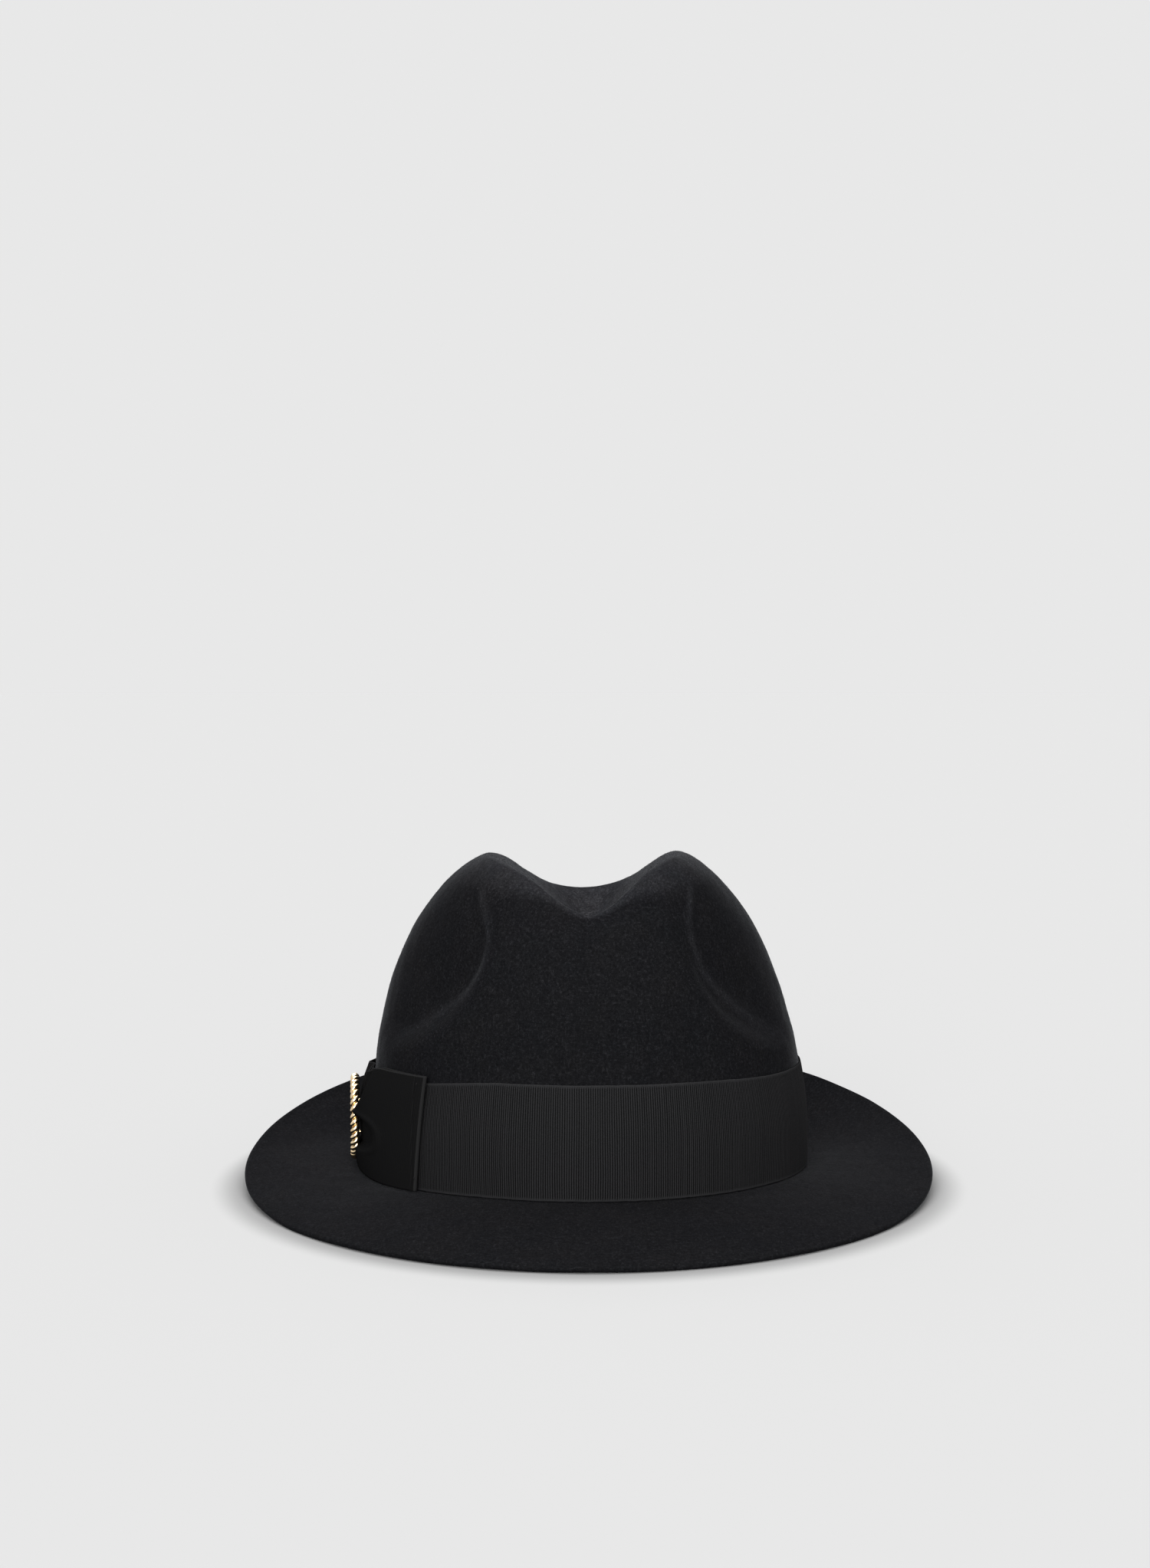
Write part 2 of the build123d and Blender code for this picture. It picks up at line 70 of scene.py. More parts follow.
# Side of the crown, and the pinches in its front corners.
WALL_P_BOW, WALL_P_FAR, WALL_Q_BOW, WALL_Q_FAR = 3.0, 2.3, 0.74, 0.685
PINCH_ANGLE, PINCH_Z, PINCH_SPREAD, PINCH_TALL = 75.0, 108.0, 46.0, 50.0
PINCH_EDGE, PINCH_DEPTH, PINCH_SQUARE = 0.20, 7.0, 2.5
PINCH_BACK, PINCH_BACK_OVER, PINCH_TOP, PINCH_TOP_OVER = 50.0, 42.0, 82.0, 50.0

# Ribbon, bow, sweatband and lining, and the lines that the brim snaps about.
BAND_H, BAND_FOOT, BAND_GAP, BAND_T, BAND_BULGE = 42.0, 0.5, 0.25, 0.7, 0.5
BOW_Y = -10.0
SWEAT_OUT, SWEAT_T, SWEAT_FOOT, SWEAT_H = 3.0, 0.9, 1.5, 38.0
LINING_OUT, LINING_T, LINING_FOOT, TIP_H, TIP_IN = FELT + 0.25, 0.3, 5.0, 82.0, 17.0
FRONT_HINGE_Y, REAR_HINGE_Y = -104.0, 107.0

# In the looks only: how far the line where crown and brim meet sags below the head opening's
# plane. FOOT_SAGS holds (amount, angle, spread) and the sag ends towards the back.
FOOT_SAG = 0.65
FOOT_SAGS = ((2.2, -65, 28), (0.5, 90, 40))
FOOT_LEVEL, FOOT_LEVEL_OVER = 110, 60


# ---------------------------------------------------------------- shape of the hat
# Angle a runs from 0 at the front through pi / 2 on the far side (+X) to pi at the back.
def smooth(t):
    t = np.clip(t, 0.0, 1.0)
    return t * t * (3 - 2 * t)


def bell(x, width):
    return np.exp(-(x / width) ** 2)


def signed_power(value, power):
    return np.sign(value) * np.abs(value) ** power


def stack(x, y, z):
    return np.stack(np.broadcast_arrays(x, y, z), axis=-1).astype(float)


def side_degrees(a):
    """Angle from the front in degrees, below zero on the bow's side."""
    return np.degrees(np.arctan2(np.sin(a), np.cos(a)))


def head_plane_z(y):
    return HEAD_Z - HEAD_TILT * (y - HEAD_Y) / HEAD_B


def head_point(a):
    y = HEAD_Y - HEAD_B * np.cos(a)
    return stack(HEAD_A * np.sin(a), y, head_plane_z(y))


def foot_point(a):
    """Where crown and brim meet."""
    side = side_degrees(a)
    sag = FOOT_SAG
    for amount, middle, spread in FOOT_SAGS:
        sag = sag + amount * bell(side - middle, spread)
    sag = sag * (1 - smooth((np.abs(side) - FOOT_LEVEL) / FOOT_LEVEL_OVER))
    return head_point(a) - stack(0, 0, sag)


def foot_sag(a):
    return (head_point(a) - foot_point(a))[..., 2]


def brim_edge(a):
    turn = np.maximum(BRIM_FROM - np.cos(a), 0.0) / (1 + BRIM_FROM)
    z = FELT + (BRIM_BACK - FELT) * turn ** BRIM_POWER
    return stack(BRIM_A * np.sin(a), -BRIM_L * np.cos(a), z)


def between(a, bow, far):
    return bow + (far - bow) * (1 + np.sin(a)) / 2


def ridge_point(a):
    x = between(a, RIDGE_A_BOW, RIDGE_A_FAR) * signed_power(np.sin(a), RIDGE_SQUARE)
    y = RIDGE_Y - RIDGE_B * signed_power(np.cos(a), RIDGE_SQUARE)
    slope = between(a, LIP_SLOPE_BOW, LIP_SLOPE_FAR)
    front = LIP_Z + slope * (np.hypot(x, LIP_ROUND) - LIP_ROUND)
    front = -LIP_BLEND * np.log(np.exp(-front / LIP_BLEND) + math.exp(-RIDGE_TOP / LIP_BLEND))
    rear = REAR_Z + REAR_BEND * (x - REAR_X) ** 2
    share = smooth((REAR_FROM - y) / REAR_BLEND)
    return stack(x, y, share * front + (1 - share) * rear)


def crease_point(a):
    middle, half = (CREASE_FRONT + CREASE_BACK) / 2, (CREASE_BACK - CREASE_FRONT) / 2
    y = middle - half * np.cos(a)
    return stack(0.0 * a, y, CREASE_Z + CREASE_SLOPE * y)


def wall_plan(a, rise):
    foot, ridge = head_point(a), ridge_point(a)
    wall_p, wall_q = between(a, WALL_P_BOW, WALL_P_FAR), between(a, WALL_Q_BOW, WALL_Q_FAR)
    out = (1 - np.clip(rise, 0, 1) ** wall_p) ** wall_q
    x, y = (ridge[..., k] + (foot[..., k] - ridge[..., k]) * out for k in range(2))
    return x, y


def pinched(a, point):
    side = np.abs(side_degrees(a))
    across = np.abs((side - PINCH_ANGLE) / PINCH_SPREAD) ** PINCH_SQUARE
    up = np.abs((point[..., 2] - PINCH_Z) / PINCH_TALL) ** PINCH_SQUARE
    reach = (across + up) ** (1 / PINCH_SQUARE)
    depth = PINCH_DEPTH * smooth((1 - reach) / PINCH_EDGE)
    depth = depth * (1 - smooth((side - PINCH_BACK) / PINCH_BACK_OVER))
    depth = depth * (1 - smooth((point[..., 2] - PINCH_TOP) / PINCH_TOP_OVER))
    return point + stack(-np.sin(a), np.cos(a), 0.0) * depth[..., None]


def wall_point(a, t):
    """Point of the crown's side, from the foot at t = 0 to the ridge at t = 1."""
    rise = np.sin(t * math.pi / 2)
    x, y = wall_plan(a, rise)
    foot, ridge = foot_point(a), ridge_point(a)
    return pinched(a, stack(x, y, foot[..., 2] + (ridge[..., 2] - foot[..., 2]) * rise))


def well_point(a, t):
    """Point inside the crease, from the ridge at t = 0 to the bottom at t = 1."""
    ridge, bottom = ridge_point(a), crease_point(a)
    drop = (1 - np.cos(math.pi * t)) / 2
    moved = (pinched(a, ridge) - ridge) * (1 - smooth(1.6 * t))[..., None]
    flat = ridge + (bottom - ridge) * t[..., None]
    z = ridge[..., 2] + (bottom[..., 2] - ridge[..., 2]) * drop
    return stack(flat[..., 0], flat[..., 1], z) + moved


def brim_point(a, u):
    """Point of the brim's top, from the foot at u = 0 to the edge at u = 1."""
    foot, edge = foot_point(a), brim_edge(a)
    back = smooth((CURL_FROM - np.cos(a)) / (1 + CURL_FROM))
    power = BRIM_DROP + (BRIM_CURL - BRIM_DROP) * back
    flat = foot + (edge - foot) * u[..., None]
    z = foot[..., 2] + (edge[..., 2] - foot[..., 2]) * u ** power
    return stack(flat[..., 0], flat[..., 1], z)


def band_point(a, height, out):
    """Point of the crown's side at a height above the head opening's plane, moved outwards."""
    rise = np.maximum(height, 0) / (ridge_point(a)[..., 2] - head_point(a)[..., 2])
    x, y = wall_plan(a, rise)
    nx, ny = x / HEAD_A ** 2, (y - HEAD_Y) / HEAD_B ** 2
    size = np.hypot(nx, ny)
    x, y = x + nx / size * out, y + ny / size * out
    return stack(x, y, head_plane_z(y) + height)


def grid_normals(points, wrap):
    """Unit normals of a grid of points; wrap says that the first axis closes on itself."""
    if wrap:
        around = np.roll(points, -1, 0) - np.roll(points, 1, 0)
    else:
        around = np.gradient(points, axis=0)
    across = np.gradient(points, axis=1)
    normal = np.cross(around, across)
    size = np.linalg.norm(normal, axis=-1, keepdims=True)
    return normal / np.maximum(size, 1e-9)


def waves(points, wavelength, seed, count=20):
    """Smooth random field of about unit size, made of plane waves of about one wavelength."""
    rng = np.random.default_rng(seed)
    direction = rng.normal(size=(count, 3))
    direction /= np.linalg.norm(direction, axis=1, keepdims=True)
    rate = TAU / (wavelength * rng.uniform(0.7, 1.5, count))
    phase = rng.uniform(0, TAU, count)
    field = np.sin(points @ (direction * rate[:, None]).T + phase)
    return field.sum(-1) * math.sqrt(2 / count)


def wavy(points, terms):
    """Sum of several random fields, each given as (size, wavelength, seed)."""
    return sum(size * waves(points, wavelength, seed) for size, wavelength, seed in terms)


# ---------------------------------------------------------------- meshes
def add_mesh(name, vertices, faces, weld=0.0, sharp=None, painted_highlight=None):
    """Object from vertices in millimetres. Faces come out with their normals outwards."""
    mesh = bpy.data.meshes.new(name)
    mesh.from_pydata((np.asarray(vertices, float) * MM).tolist(), [], faces)
    if painted_highlight is not None:
        add_values(mesh, "painted_highlight", painted_highlight)
    work = bmesh.new()
    work.from_mesh(mesh)
    if weld:
        bmesh.ops.remove_doubles(work, verts=work.verts, dist=weld * MM)
    bmesh.ops.recalc_face_normals(work, faces=work.faces)
    for face in work.faces:
        face.smooth = True
    work.to_mesh(mesh)
    work.free()
    if sharp is not None:
        mesh.set_sharp_from_angle(angle=math.radians(sharp))
    piece = bpy.data.objects.new(name, mesh)
    bpy.context.scene.collection.objects.link(piece)
    return piece


def add_values(mesh, name, values):
    """Give each vertex a number that a material can read."""
    attribute = mesh.attributes.new(name, "FLOAT", "POINT")
    attribute.data.foreach_set("value", np.asarray(values, np.float32).ravel())


def grid_faces(rows, columns, wrap, wrap_across=False, start=0, flip=False):
    """Quads of a grid whose first axis, second axis or both close on themselves."""
    i = np.arange(rows if wrap else rows - 1)
    j = np.arange(columns if wrap_across else columns - 1)
    i, j = np.meshgrid(i, j, indexing="ij")
    k, m = (i + 1) % rows, (j + 1) % columns
    corners = [i * columns + j, k * columns + j, k * columns + m, i * columns + m]
    quads = np.stack(corners, -1).reshape(-1, 4) + start
    return quads[:, ::-1] if flip else quads


def shell(name, outer, inner, wrap, weld=0.0, sharp=None, close_first=True, painted_highlight=None):
    """Closed skin between two grids of the same size."""
    rows, columns = outer.shape[:2]
    count = rows * columns
    vertices = np.concatenate([outer.reshape(-1, 3), inner.reshape(-1, 3)])
    faces = [grid_faces(rows, columns, wrap)]
    faces.append(grid_faces(rows, columns, wrap, start=count, flip=True))
    ring = np.arange(rows if wrap else rows - 1)
    after = (ring + 1) % rows
    for column in [columns - 1] + ([0] if close_first else []):
        a, b = ring * columns + column, after * columns + column
        faces.append(np.stack([a, b, b + count, a + count], -1))
    if not wrap:
        side = np.arange(columns - 1)
        for row in (0, rows - 1):
            a = row * columns + side
            faces.append(np.stack([a, a + 1, a + 1 + count, a + count], -1))
    if painted_highlight is not None:
        painted_highlight = np.concatenate([painted_highlight.ravel(), 0 * painted_highlight.ravel()])
    return add_mesh(name, vertices, np.concatenate(faces).tolist(), weld, sharp, painted_highlight)


def tubes(name, paths, radius, sides=8, closed=False):
    """Round strands along paths, all in one piece. Open strands have rounded ends."""
    vertices, faces = [], []
    turn = np.arange(sides) * TAU / sides
    for path in paths:
        path = np.asarray(path, float)
        if closed:
            along = np.roll(path, -1, 0) - np.roll(path, 1, 0)
            size = np.ones(len(path))
        else:
            along = np.gradient(path, axis=0)
            lead = along[0] / np.linalg.norm(along[0])
            tail = along[-1] / np.linalg.norm(along[-1])
            caps = np.array([0.95, 0.6])
            front = path[0] - lead * radius * caps[:, None]
            back = path[-1] + tail * radius * caps[::-1, None]
            path = np.concatenate([front, path, back])
            along = np.concatenate([[lead, lead], along, [tail, tail]])
            size = np.ones(len(path))
            size[[0, -1]], size[[1, -2]] = 0.3, 0.8
        along = along / np.linalg.norm(along, axis=1, keepdims=True)
        side = np.cross(along[0], (0.31, 0.22, 0.92))
        sides_of = []
        for direction in along:
            side = side - direction * (side @ direction)
            side = side / np.linalg.norm(side)
            sides_of.append(side)
        sides_of = np.array(sides_of)
        other = np.cross(along, sides_of)
        ring = (sides_of[:, None] * np.cos(turn)[:, None] + other[:, None] * np.sin(turn)[:, None])
        ring = path[:, None] + ring * (radius * size)[:, None, None]
        start = sum(len(done) for done in vertices)
        count = len(path)
        vertices.append(ring.reshape(-1, 3))
        faces += grid_faces(count, sides, closed, wrap_across=True, start=start).tolist()
        if not closed:
            faces.append([start + n for n in range(sides)][::-1])
            faces.append([start + (count - 1) * sides + n for n in range(sides)])
    return add_mesh(name, np.concatenate(vertices), faces)


def swept(name, profile, rows, push):
    """Ring round the inside of the crown. profile holds (height, distance out) pairs, closed."""
    a = (np.arange(rows) * TAU / rows)[:, None]
    height, out = np.asarray(profile, float).T
    height, out = np.broadcast_arrays(height[None], out[None])
    points = band_point(a, height, out + push(a, height, out))
    faces = grid_faces(*points.shape[:2], True, wrap_across=True)
    return add_mesh(name, points.reshape(-1, 3), faces.tolist(), sharp=60)


# ---------------------------------------------------------------- materials
class Look:
    """A material in the making, with short names for the nodes that it needs."""

    def __init__(self, name, settings):
        self.material = bpy.data.materials.new(name)
        self.material.use_nodes = True
        tree = self.material.node_tree
        self.nodes, self.links, self.shader = tree.nodes, tree.links, tree.nodes["Principled BSDF"]
        for socket, value in settings.items():
            self.shader.inputs[socket].default_value = value

    def place(self, scale=(1, 1, 1), rotation=(0, 0, 0)):
        """Object coordinates, scaled and turned."""
        place = self.nodes.new("ShaderNodeTexCoord")
        mapping = self.nodes.new("ShaderNodeMapping")
        mapping.inputs["Scale"].default_value = scale
        mapping.inputs["Rotation"].default_value = rotation
        self.links.new(place.outputs["Object"], mapping.inputs["Vector"])
        return mapping.outputs["Vector"]

    def noise(self, vector, scale, detail=2.0, roughness=0.5):
        node = self.nodes.new("ShaderNodeTexNoise")
        node.inputs["Scale"].default_value = scale
        node.inputs["Detail"].default_value = detail
        node.inputs["Roughness"].default_value = roughness
        self.links.new(vector, node.inputs["Vector"])
        return node.outputs["Fac"]

    def attribute(self, name):
        node = self.nodes.new("ShaderNodeAttribute")
        node.attribute_name = name
        return node.outputs["Fac"]

    def ramp(self, value, *stops):
        """Colours by value. stops holds (value, colour) pairs."""
        node = self.nodes.new("ShaderNodeValToRGB")
        first, last = node.color_ramp.elements
        first.position, first.color = stops[0][0], (*stops[0][1], 1)
        last.position, last.color = stops[-1][0], (*stops[-1][1], 1)
        for position, colour in stops[1:-1]:
            node.color_ramp.elements.new(position).color = (*colour, 1)
        self.links.new(value, node.inputs["Fac"])
        return node.outputs["Color"]

    def maths(self, operation, *values):
        node = self.nodes.new("ShaderNodeMath")
        node.operation = operation
        for socket, value in zip(node.inputs, values):
            if isinstance(value, (int, float)):
                socket.default_value = value
            else:
                self.links.new(value, socket)
        return node.outputs["Value"]

    def colour(self, output):
        self.links.new(output, self.shader.inputs["Base Color"])

    def bump(self, height, strength, distance):
        node = self.nodes.new("ShaderNodeBump")
        node.inputs["Strength"].default_value = strength
        node.inputs["Distance"].default_value = distance * MM
        self.links.new(height, node.inputs["Height"])
        self.links.new(node.outputs["Normal"], self.shader.inputs["Normal"])


FELT_TONES = ((0.0032, 0.0032, 0.0036), (0.0058, 0.0059, 0.0065), (0.0138, 0.0139, 0.0154))
FELT_SHEEN = 0.06
HIGHLIGHT_GAIN = 3.6  # how much lighter the felt's painted highlight makes it on ridges, crease and rims


def felt_material():
    """Near-black fur felt: matted fibres, each a little lighter than the ground between them."""
    look = Look("felt", {
        "Roughness": 0.9, "Specular IOR Level": 0.0, "Sheen Weight": FELT_SHEEN,
        "Sheen Roughness": 0.22, "Sheen Tint": (0.92, 0.95, 1.0, 1),
    })
    streaks = []
    for turn, scale in enumerate(((1.0, 0.25, 1.0), (0.25, 1.0, 1.0), (1.0, 1.0, 0.25))):
        vector = look.place(scale, (0.5 * turn, 0.7 + turn, 0.3 * turn))
        streaks.append(look.noise(vector, 1500.0, 3.0, 0.7))
    fibre = look.maths("MAXIMUM", look.maths("MAXIMUM", streaks[0], streaks[1]), streaks[2])
    speckle = look.noise(look.place(), 900.0, 4.0, 0.75)
    both = look.maths("ADD", look.maths("MULTIPLY", fibre, 0.6),
                      look.maths("MULTIPLY", speckle, 0.4))
    base = look.ramp(both, *zip((0.42, 0.56, 0.68), FELT_TONES))
    cloud = look.noise(look.place(), 60.0, 4.0, 0.6)
    warm = look.ramp(cloud, (0.35, (0.94, 0.95, 0.97)), (0.65, (1.06, 1.04, 1.03)))
    tint = look.nodes.new("ShaderNodeMix")
    tint.data_type = "RGBA"
    tint.blend_type = "MULTIPLY"
    tint.inputs["Factor"].default_value = 1.0
    colours = [socket for socket in tint.inputs if socket.type == "RGBA"]
    look.links.new(base, colours[0])
    look.links.new(warm, colours[1])
    tinted = [socket for socket in tint.outputs if socket.type == "RGBA"][0]
    # Painted highlight: the felt is made lighter, in streaks, on the ridges, in the crease and
    # along the pinch rims, where light falls on them.
    highlight_streaks = look.noise(look.place((1.0, 0.3, 0.6)), 420.0, 4.0, 0.65)
    lift = look.maths("MULTIPLY", look.attribute("painted_highlight"),
                      look.maths("MULTIPLY", highlight_streaks, HIGHLIGHT_GAIN))
    lighten = look.nodes.new("ShaderNodeVectorMath")
    lighten.operation = "SCALE"
    look.links.new(tinted, lighten.inputs[0])
    look.links.new(look.maths("ADD", lift, 1.0), lighten.inputs["Scale"])
    look.colour(lighten.outputs["Vector"])
    look.bump(both, 0.6, 0.25)
    return look.material


def drifting_material(name, settings, scale, detail, low, high, grain=None):
    """Material whose colour drifts from low to high. grain, if it has one, is a bump given as
    (stretch, scale, detail, strength, distance)."""
    look = Look(name, settings)
    tone = look.noise(look.place(), scale, detail)
    look.colour(look.ramp(tone, (0.3, low), (0.7, high)))
    if grain:
        stretch, scale, detail, strength, distance = grain
        look.bump(look.noise(look.place(stretch), scale, detail), strength, distance)
    return look.material


def ribbed_material(name, low, high, edge):
    """Grosgrain: low in its grooves, as painted shade, high on its ribs, and edge where the value
    passes 1, as a painted highlight.
    """
    look = Look(name, {"Roughness": 0.9, "Specular IOR Level": 0.0})
    grain = look.noise(look.place(), 2600.0, 2.0, 0.6)
    level = look.maths("MULTIPLY", look.attribute("rib"), look.maths("ADD", grain, 0.5))
    look.colour(look.ramp(level, (0.1, low), (0.9, high), (1.0, edge)))
    look.bump(grain, 0.35, 0.05)
    return look.material


def leather_material():
    look = Look("sweatband_leather", {"Roughness": 0.45})
    cells = look.nodes.new("ShaderNodeTexVoronoi")
    cells.inputs["Scale"].default_value = 900.0
    look.links.new(look.place(), cells.inputs["Vector"])
    tone = look.noise(look.place(), 70.0, 4.0)
    look.colour(look.ramp(tone, (0.3, (0.020, 0.012, 0.008)), (0.7, (0.050, 0.030, 0.019))))
    look.bump(cells.outputs["Distance"], 0.4, 0.12)
    return look.material


def satin_material(name, low, high):
    settings = {"Roughness": 0.32, "Anisotropic": 0.5, "Sheen Weight": 0.1}
    weave = ((1, 1, 0.1), 2500.0, 2.0, 0.25, 0.04)
    return drifting_material(name, settings, 40.0, 3.0, low, high, weave)


def thread_material(name, colour):
    settings = {"Roughness": 0.7, "Specular IOR Level": 0.1}
    dark = tuple(c * 0.5 for c in colour)
    fibres = ((1, 1, 1), 3000.0, 2.0, 0.5, 0.1)
    return drifting_material(name, settings, 3000.0, 2.0, dark, colour, fibres)


RIB_HIGH = (0.0166, 0.0166, 0.0174)
FELT_LOOK = felt_material()
NAP_LOOK = drifting_material(
    "nap", {"Roughness": 0.8, "Specular IOR Level": 0.03}, 300.0, 1.0,
    (0.004, 0.004, 0.0044), (0.0125, 0.0127, 0.0138))
# Painted shade: the ribbon's grooves take the near-black low colour.
RIBBON_LOOK = ribbed_material("grosgrain", (0.0010, 0.0010, 0.0010), RIB_HIGH, RIB_HIGH)
# Painted shade in the bow's grooves, and a painted highlight, the last colour, on its fold and top
# edge.
BOW_LOOK = ribbed_material(
    "bow_ribbon", (0.0044, 0.0044, 0.0045), (0.0070, 0.0070, 0.0072), (0.0125, 0.0125, 0.0127))
GOLD_LOOK = drifting_material(
    "gilt_metal", {"Metallic": 1.0, "Roughness": 0.2}, 260.0, 3.0,
    (0.78, 0.56, 0.32), (0.93, 0.76, 0.50), ((1, 1, 1), 1100.0, 3.0, 0.15, 0.05))
LEATHER_LOOK = leather_material()
SATIN_LOOK = satin_material("lining_satin", (0.012, 0.012, 0.014), (0.022, 0.022, 0.025))
PIPING_LOOK = satin_material("piping_satin", (0.020, 0.018, 0.016), (0.035, 0.031, 0.027))
THREAD_LOOK = thread_material("sweatband_thread", (0.06, 0.04, 0.028))
BLACK_THREAD_LOOK = thread_material("black_thread", (0.006, 0.006, 0.0065))
TAPE_LOOK = thread_material("tape_fabric", (0.02, 0.02, 0.02))
REED_LOOK = thread_material("reed_plastic", (0.4, 0.4, 0.38))
SMALL_BOW_LOOK = satin_material(
    "sweatband_bow_ribbon", (0.02, 0.013, 0.012), (0.04, 0.026, 0.024))
CLEAR_LOOK = drifting_material(
    "clear_sheet", {"Roughness": 0.08, "Alpha": 0.22}, 60.0, 2.0,
    (0.80, 0.80, 0.80), (0.9, 0.9, 0.9))


def dress(piece, look):
    piece.data.materials.clear()
    piece.data.materials.append(look)
    return piece


def attach(piece, look, node=None):
    """Dress a piece that stays with the hat, and that may stand for a CAD node."""
    dress(piece, look)
    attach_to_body(piece, "hat")
    if node:
        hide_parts(node)


# ---------------------------------------------------------------- felt
# The pinches' rims as (degrees from the front, height) on the bow's side and the far side.
RIM_BOW = ((-41, 126), (-36, 117), (-31.5, 109), (-30.4, 101), (-31.3, 93), (-35, 86),
           (-40, 80.6), (-46.4, 75.6), (-53, 70.6), (-59, 66.2), (-65, 62.8))
RIM_FAR = ((41, 127), (36, 121.5), (33, 114.3), (32, 106), (34, 96.5), (37, 89.5),
           (41, 84), (45.7, 79), (51.2, 74), (56.7, 70.3), (63, 67.2), (70, 64.6))
RIM_STEPS, RIM_SMOOTHINGS = 200, 40
RIM_START, RIM_END = 15, 60  # steps over which a rim fades in and out
RIM_ABOVE = 45  # nothing below this height has relief
RIM_RIDGE, RIM_RIDGE_WIDTH = 0.30, 2.1
RIM_HOLLOW, RIM_HOLLOW_AT, RIM_HOLLOW_WIDTH = 0.85, 6.5, 4.5
# Painted highlight along the pinch rims, and its width.
RIM_HIGHLIGHT, RIM_HIGHLIGHT_WIDTH = 0.40, 1.9
DEGREE = 1.3  # about how long a degree of the crown's side is

# Painted highlight on the ridges and in the crease, where light falls, and how wide the band on the
# ridges is.
HIGHLIGHT_RIDGE, HIGHLIGHT_CREASE = 0.60, 0.40
HIGHLIGHT_NARROW, HIGHLIGHT_WIDE, HIGHLIGHT_FROM, HIGHLIGHT_OVER = 2.0, 10.0, 119, 13

CROWN_COLUMNS, WELL_ROWS, WALL_ROWS, CROWN_SMOOTHINGS = 390, 30, 96, 4
BRIM_COLUMNS, BEDGE_ROWS, EDGE_ROWS = 300, 44, 9
CROWN_WAVES = ((0.10, 38.0, 1), (0.05, 14.0, 2), (0.02, 5.0, 3))
BRIM_WAVES = ((0.12, 45.0, 4), (0.02, 16.0, 5), (0.006, 5.0, 6))
FLOOR_GAP = 0.03  # the brim's lowest point stays this far off the floor

NAP_LENGTH = 0.8
CROWN_FIBRES, BRIM_FIBRES = 47000, 46000
CROWN_SEED = 11


def pinch_rim(points):
    """Relief along the front and lower rims of the pinches, a low ridge with a hollow on its inner
    side, and how much painted highlight each point takes for lying on the ridge."""
    side = np.arctan2(points[..., 0] / HEAD_A, (HEAD_Y - points[..., 1]) / HEAD_B)
    place = np.stack([np.degrees(side) * DEGREE, points[..., 2]], -1)
    relief, rim_highlight = np.zeros(side.shape), np.zeros(side.shape)
    for rim in (RIM_BOW, RIM_FAR):
        rim = np.array(rim) * (DEGREE, 1)
        at = np.linspace(0, len(rim) - 1, RIM_STEPS)
        curve = np.stack([np.interp(at, np.arange(len(rim)), rim[:, k]) for k in range(2)], -1)
        for _ in range(RIM_SMOOTHINGS):
            curve[1:-1] = (curve[:-2] + 2 * curve[1:-1] + curve[2:]) / 4
        near = np.nonzero((place[..., 0] * rim[0, 0] > 0) & (place[..., 1] > RIM_ABOVE))
        apart = place[near][:, None] - curve[None]
        distance = np.linalg.norm(apart, axis=-1)
        nearest = distance.argmin(1)
        distance = distance.min(1)
        along = np.gradient(curve, axis=0)[nearest]
        apart = apart[np.arange(len(apart)), nearest]
        turn = along[:, 0] * apart[:, 1] - along[:, 1] * apart[:, 0]
        inside = turn * np.sign(rim[0, 0]) > 0
        fade = smooth(nearest / RIM_START) * smooth((RIM_STEPS - 1 - nearest) / RIM_END)
        hollow = inside * RIM_HOLLOW * bell(distance - RIM_HOLLOW_AT, RIM_HOLLOW_WIDTH)
        relief[near] += fade * (RIM_RIDGE * bell(distance, RIM_RIDGE_WIDTH) - hollow)
        rim_highlight[near] += fade * RIM_HIGHLIGHT * bell(distance, RIM_HIGHLIGHT_WIDTH)
    return relief, rim_highlight


def highlight_share(t_well, a_wall, wall_z, rim_highlight):
    """How much painted highlight lightens the felt, where light falls: most in the crease and along
    the ridges.
    """
    ridge = ridge_point(a_wall)[..., 2]
    width = HIGHLIGHT_NARROW + HIGHLIGHT_WIDE * smooth((ridge - HIGHLIGHT_FROM) / HIGHLIGHT_OVER)
    wall = HIGHLIGHT_RIDGE * smooth(1 - (ridge - wall_z) / width)
    well = HIGHLIGHT_RIDGE + HIGHLIGHT_CREASE * smooth(t_well * 4.0)
    return np.maximum(np.concatenate([well, wall], 1), rim_highlight)


def crown_grids():
    """Outside and inside of the crown, from the bottom of the crease to the foot."""
    a = np.arange(CROWN_COLUMNS) * TAU / CROWN_COLUMNS
    a_well, t_well = np.meshgrid(a, np.linspace(1, 0, WELL_ROWS, endpoint=False), indexing="ij")
    a_wall, t_wall = np.meshgrid(a, np.linspace(1, 0, WALL_ROWS), indexing="ij")
    outer = np.concatenate([well_point(a_well, t_well), wall_point(a_wall, t_wall)], 1)
    for _ in range(CROWN_SMOOTHINGS):
        outer[:, 1:-1] = (np.roll(outer, 1, 0) + 2 * outer + np.roll(outer, -1, 0))[:, 1:-1] / 4
    normal = grid_normals(outer, wrap=True)
    normal[:, 0] = (0, 0, 1)
    far_side = CROWN_COLUMNS // 4, WELL_ROWS * 2
    if normal[far_side] @ outer[far_side] < 0:
        normal[:, 1:] *= -1
    relief, rim_highlight = pinch_rim(outer)
    outer = outer + normal * (wavy(outer, CROWN_WAVES) + relief)[..., None]
    outer[:, 0, 0] = 0.0
    # Share of the painted highlight on the crown's felt.
    painted_highlight = highlight_share(t_well, a_wall, outer[:, WELL_ROWS:, 2], rim_highlight)
    return outer, outer - normal * FELT, normal, painted_highlight


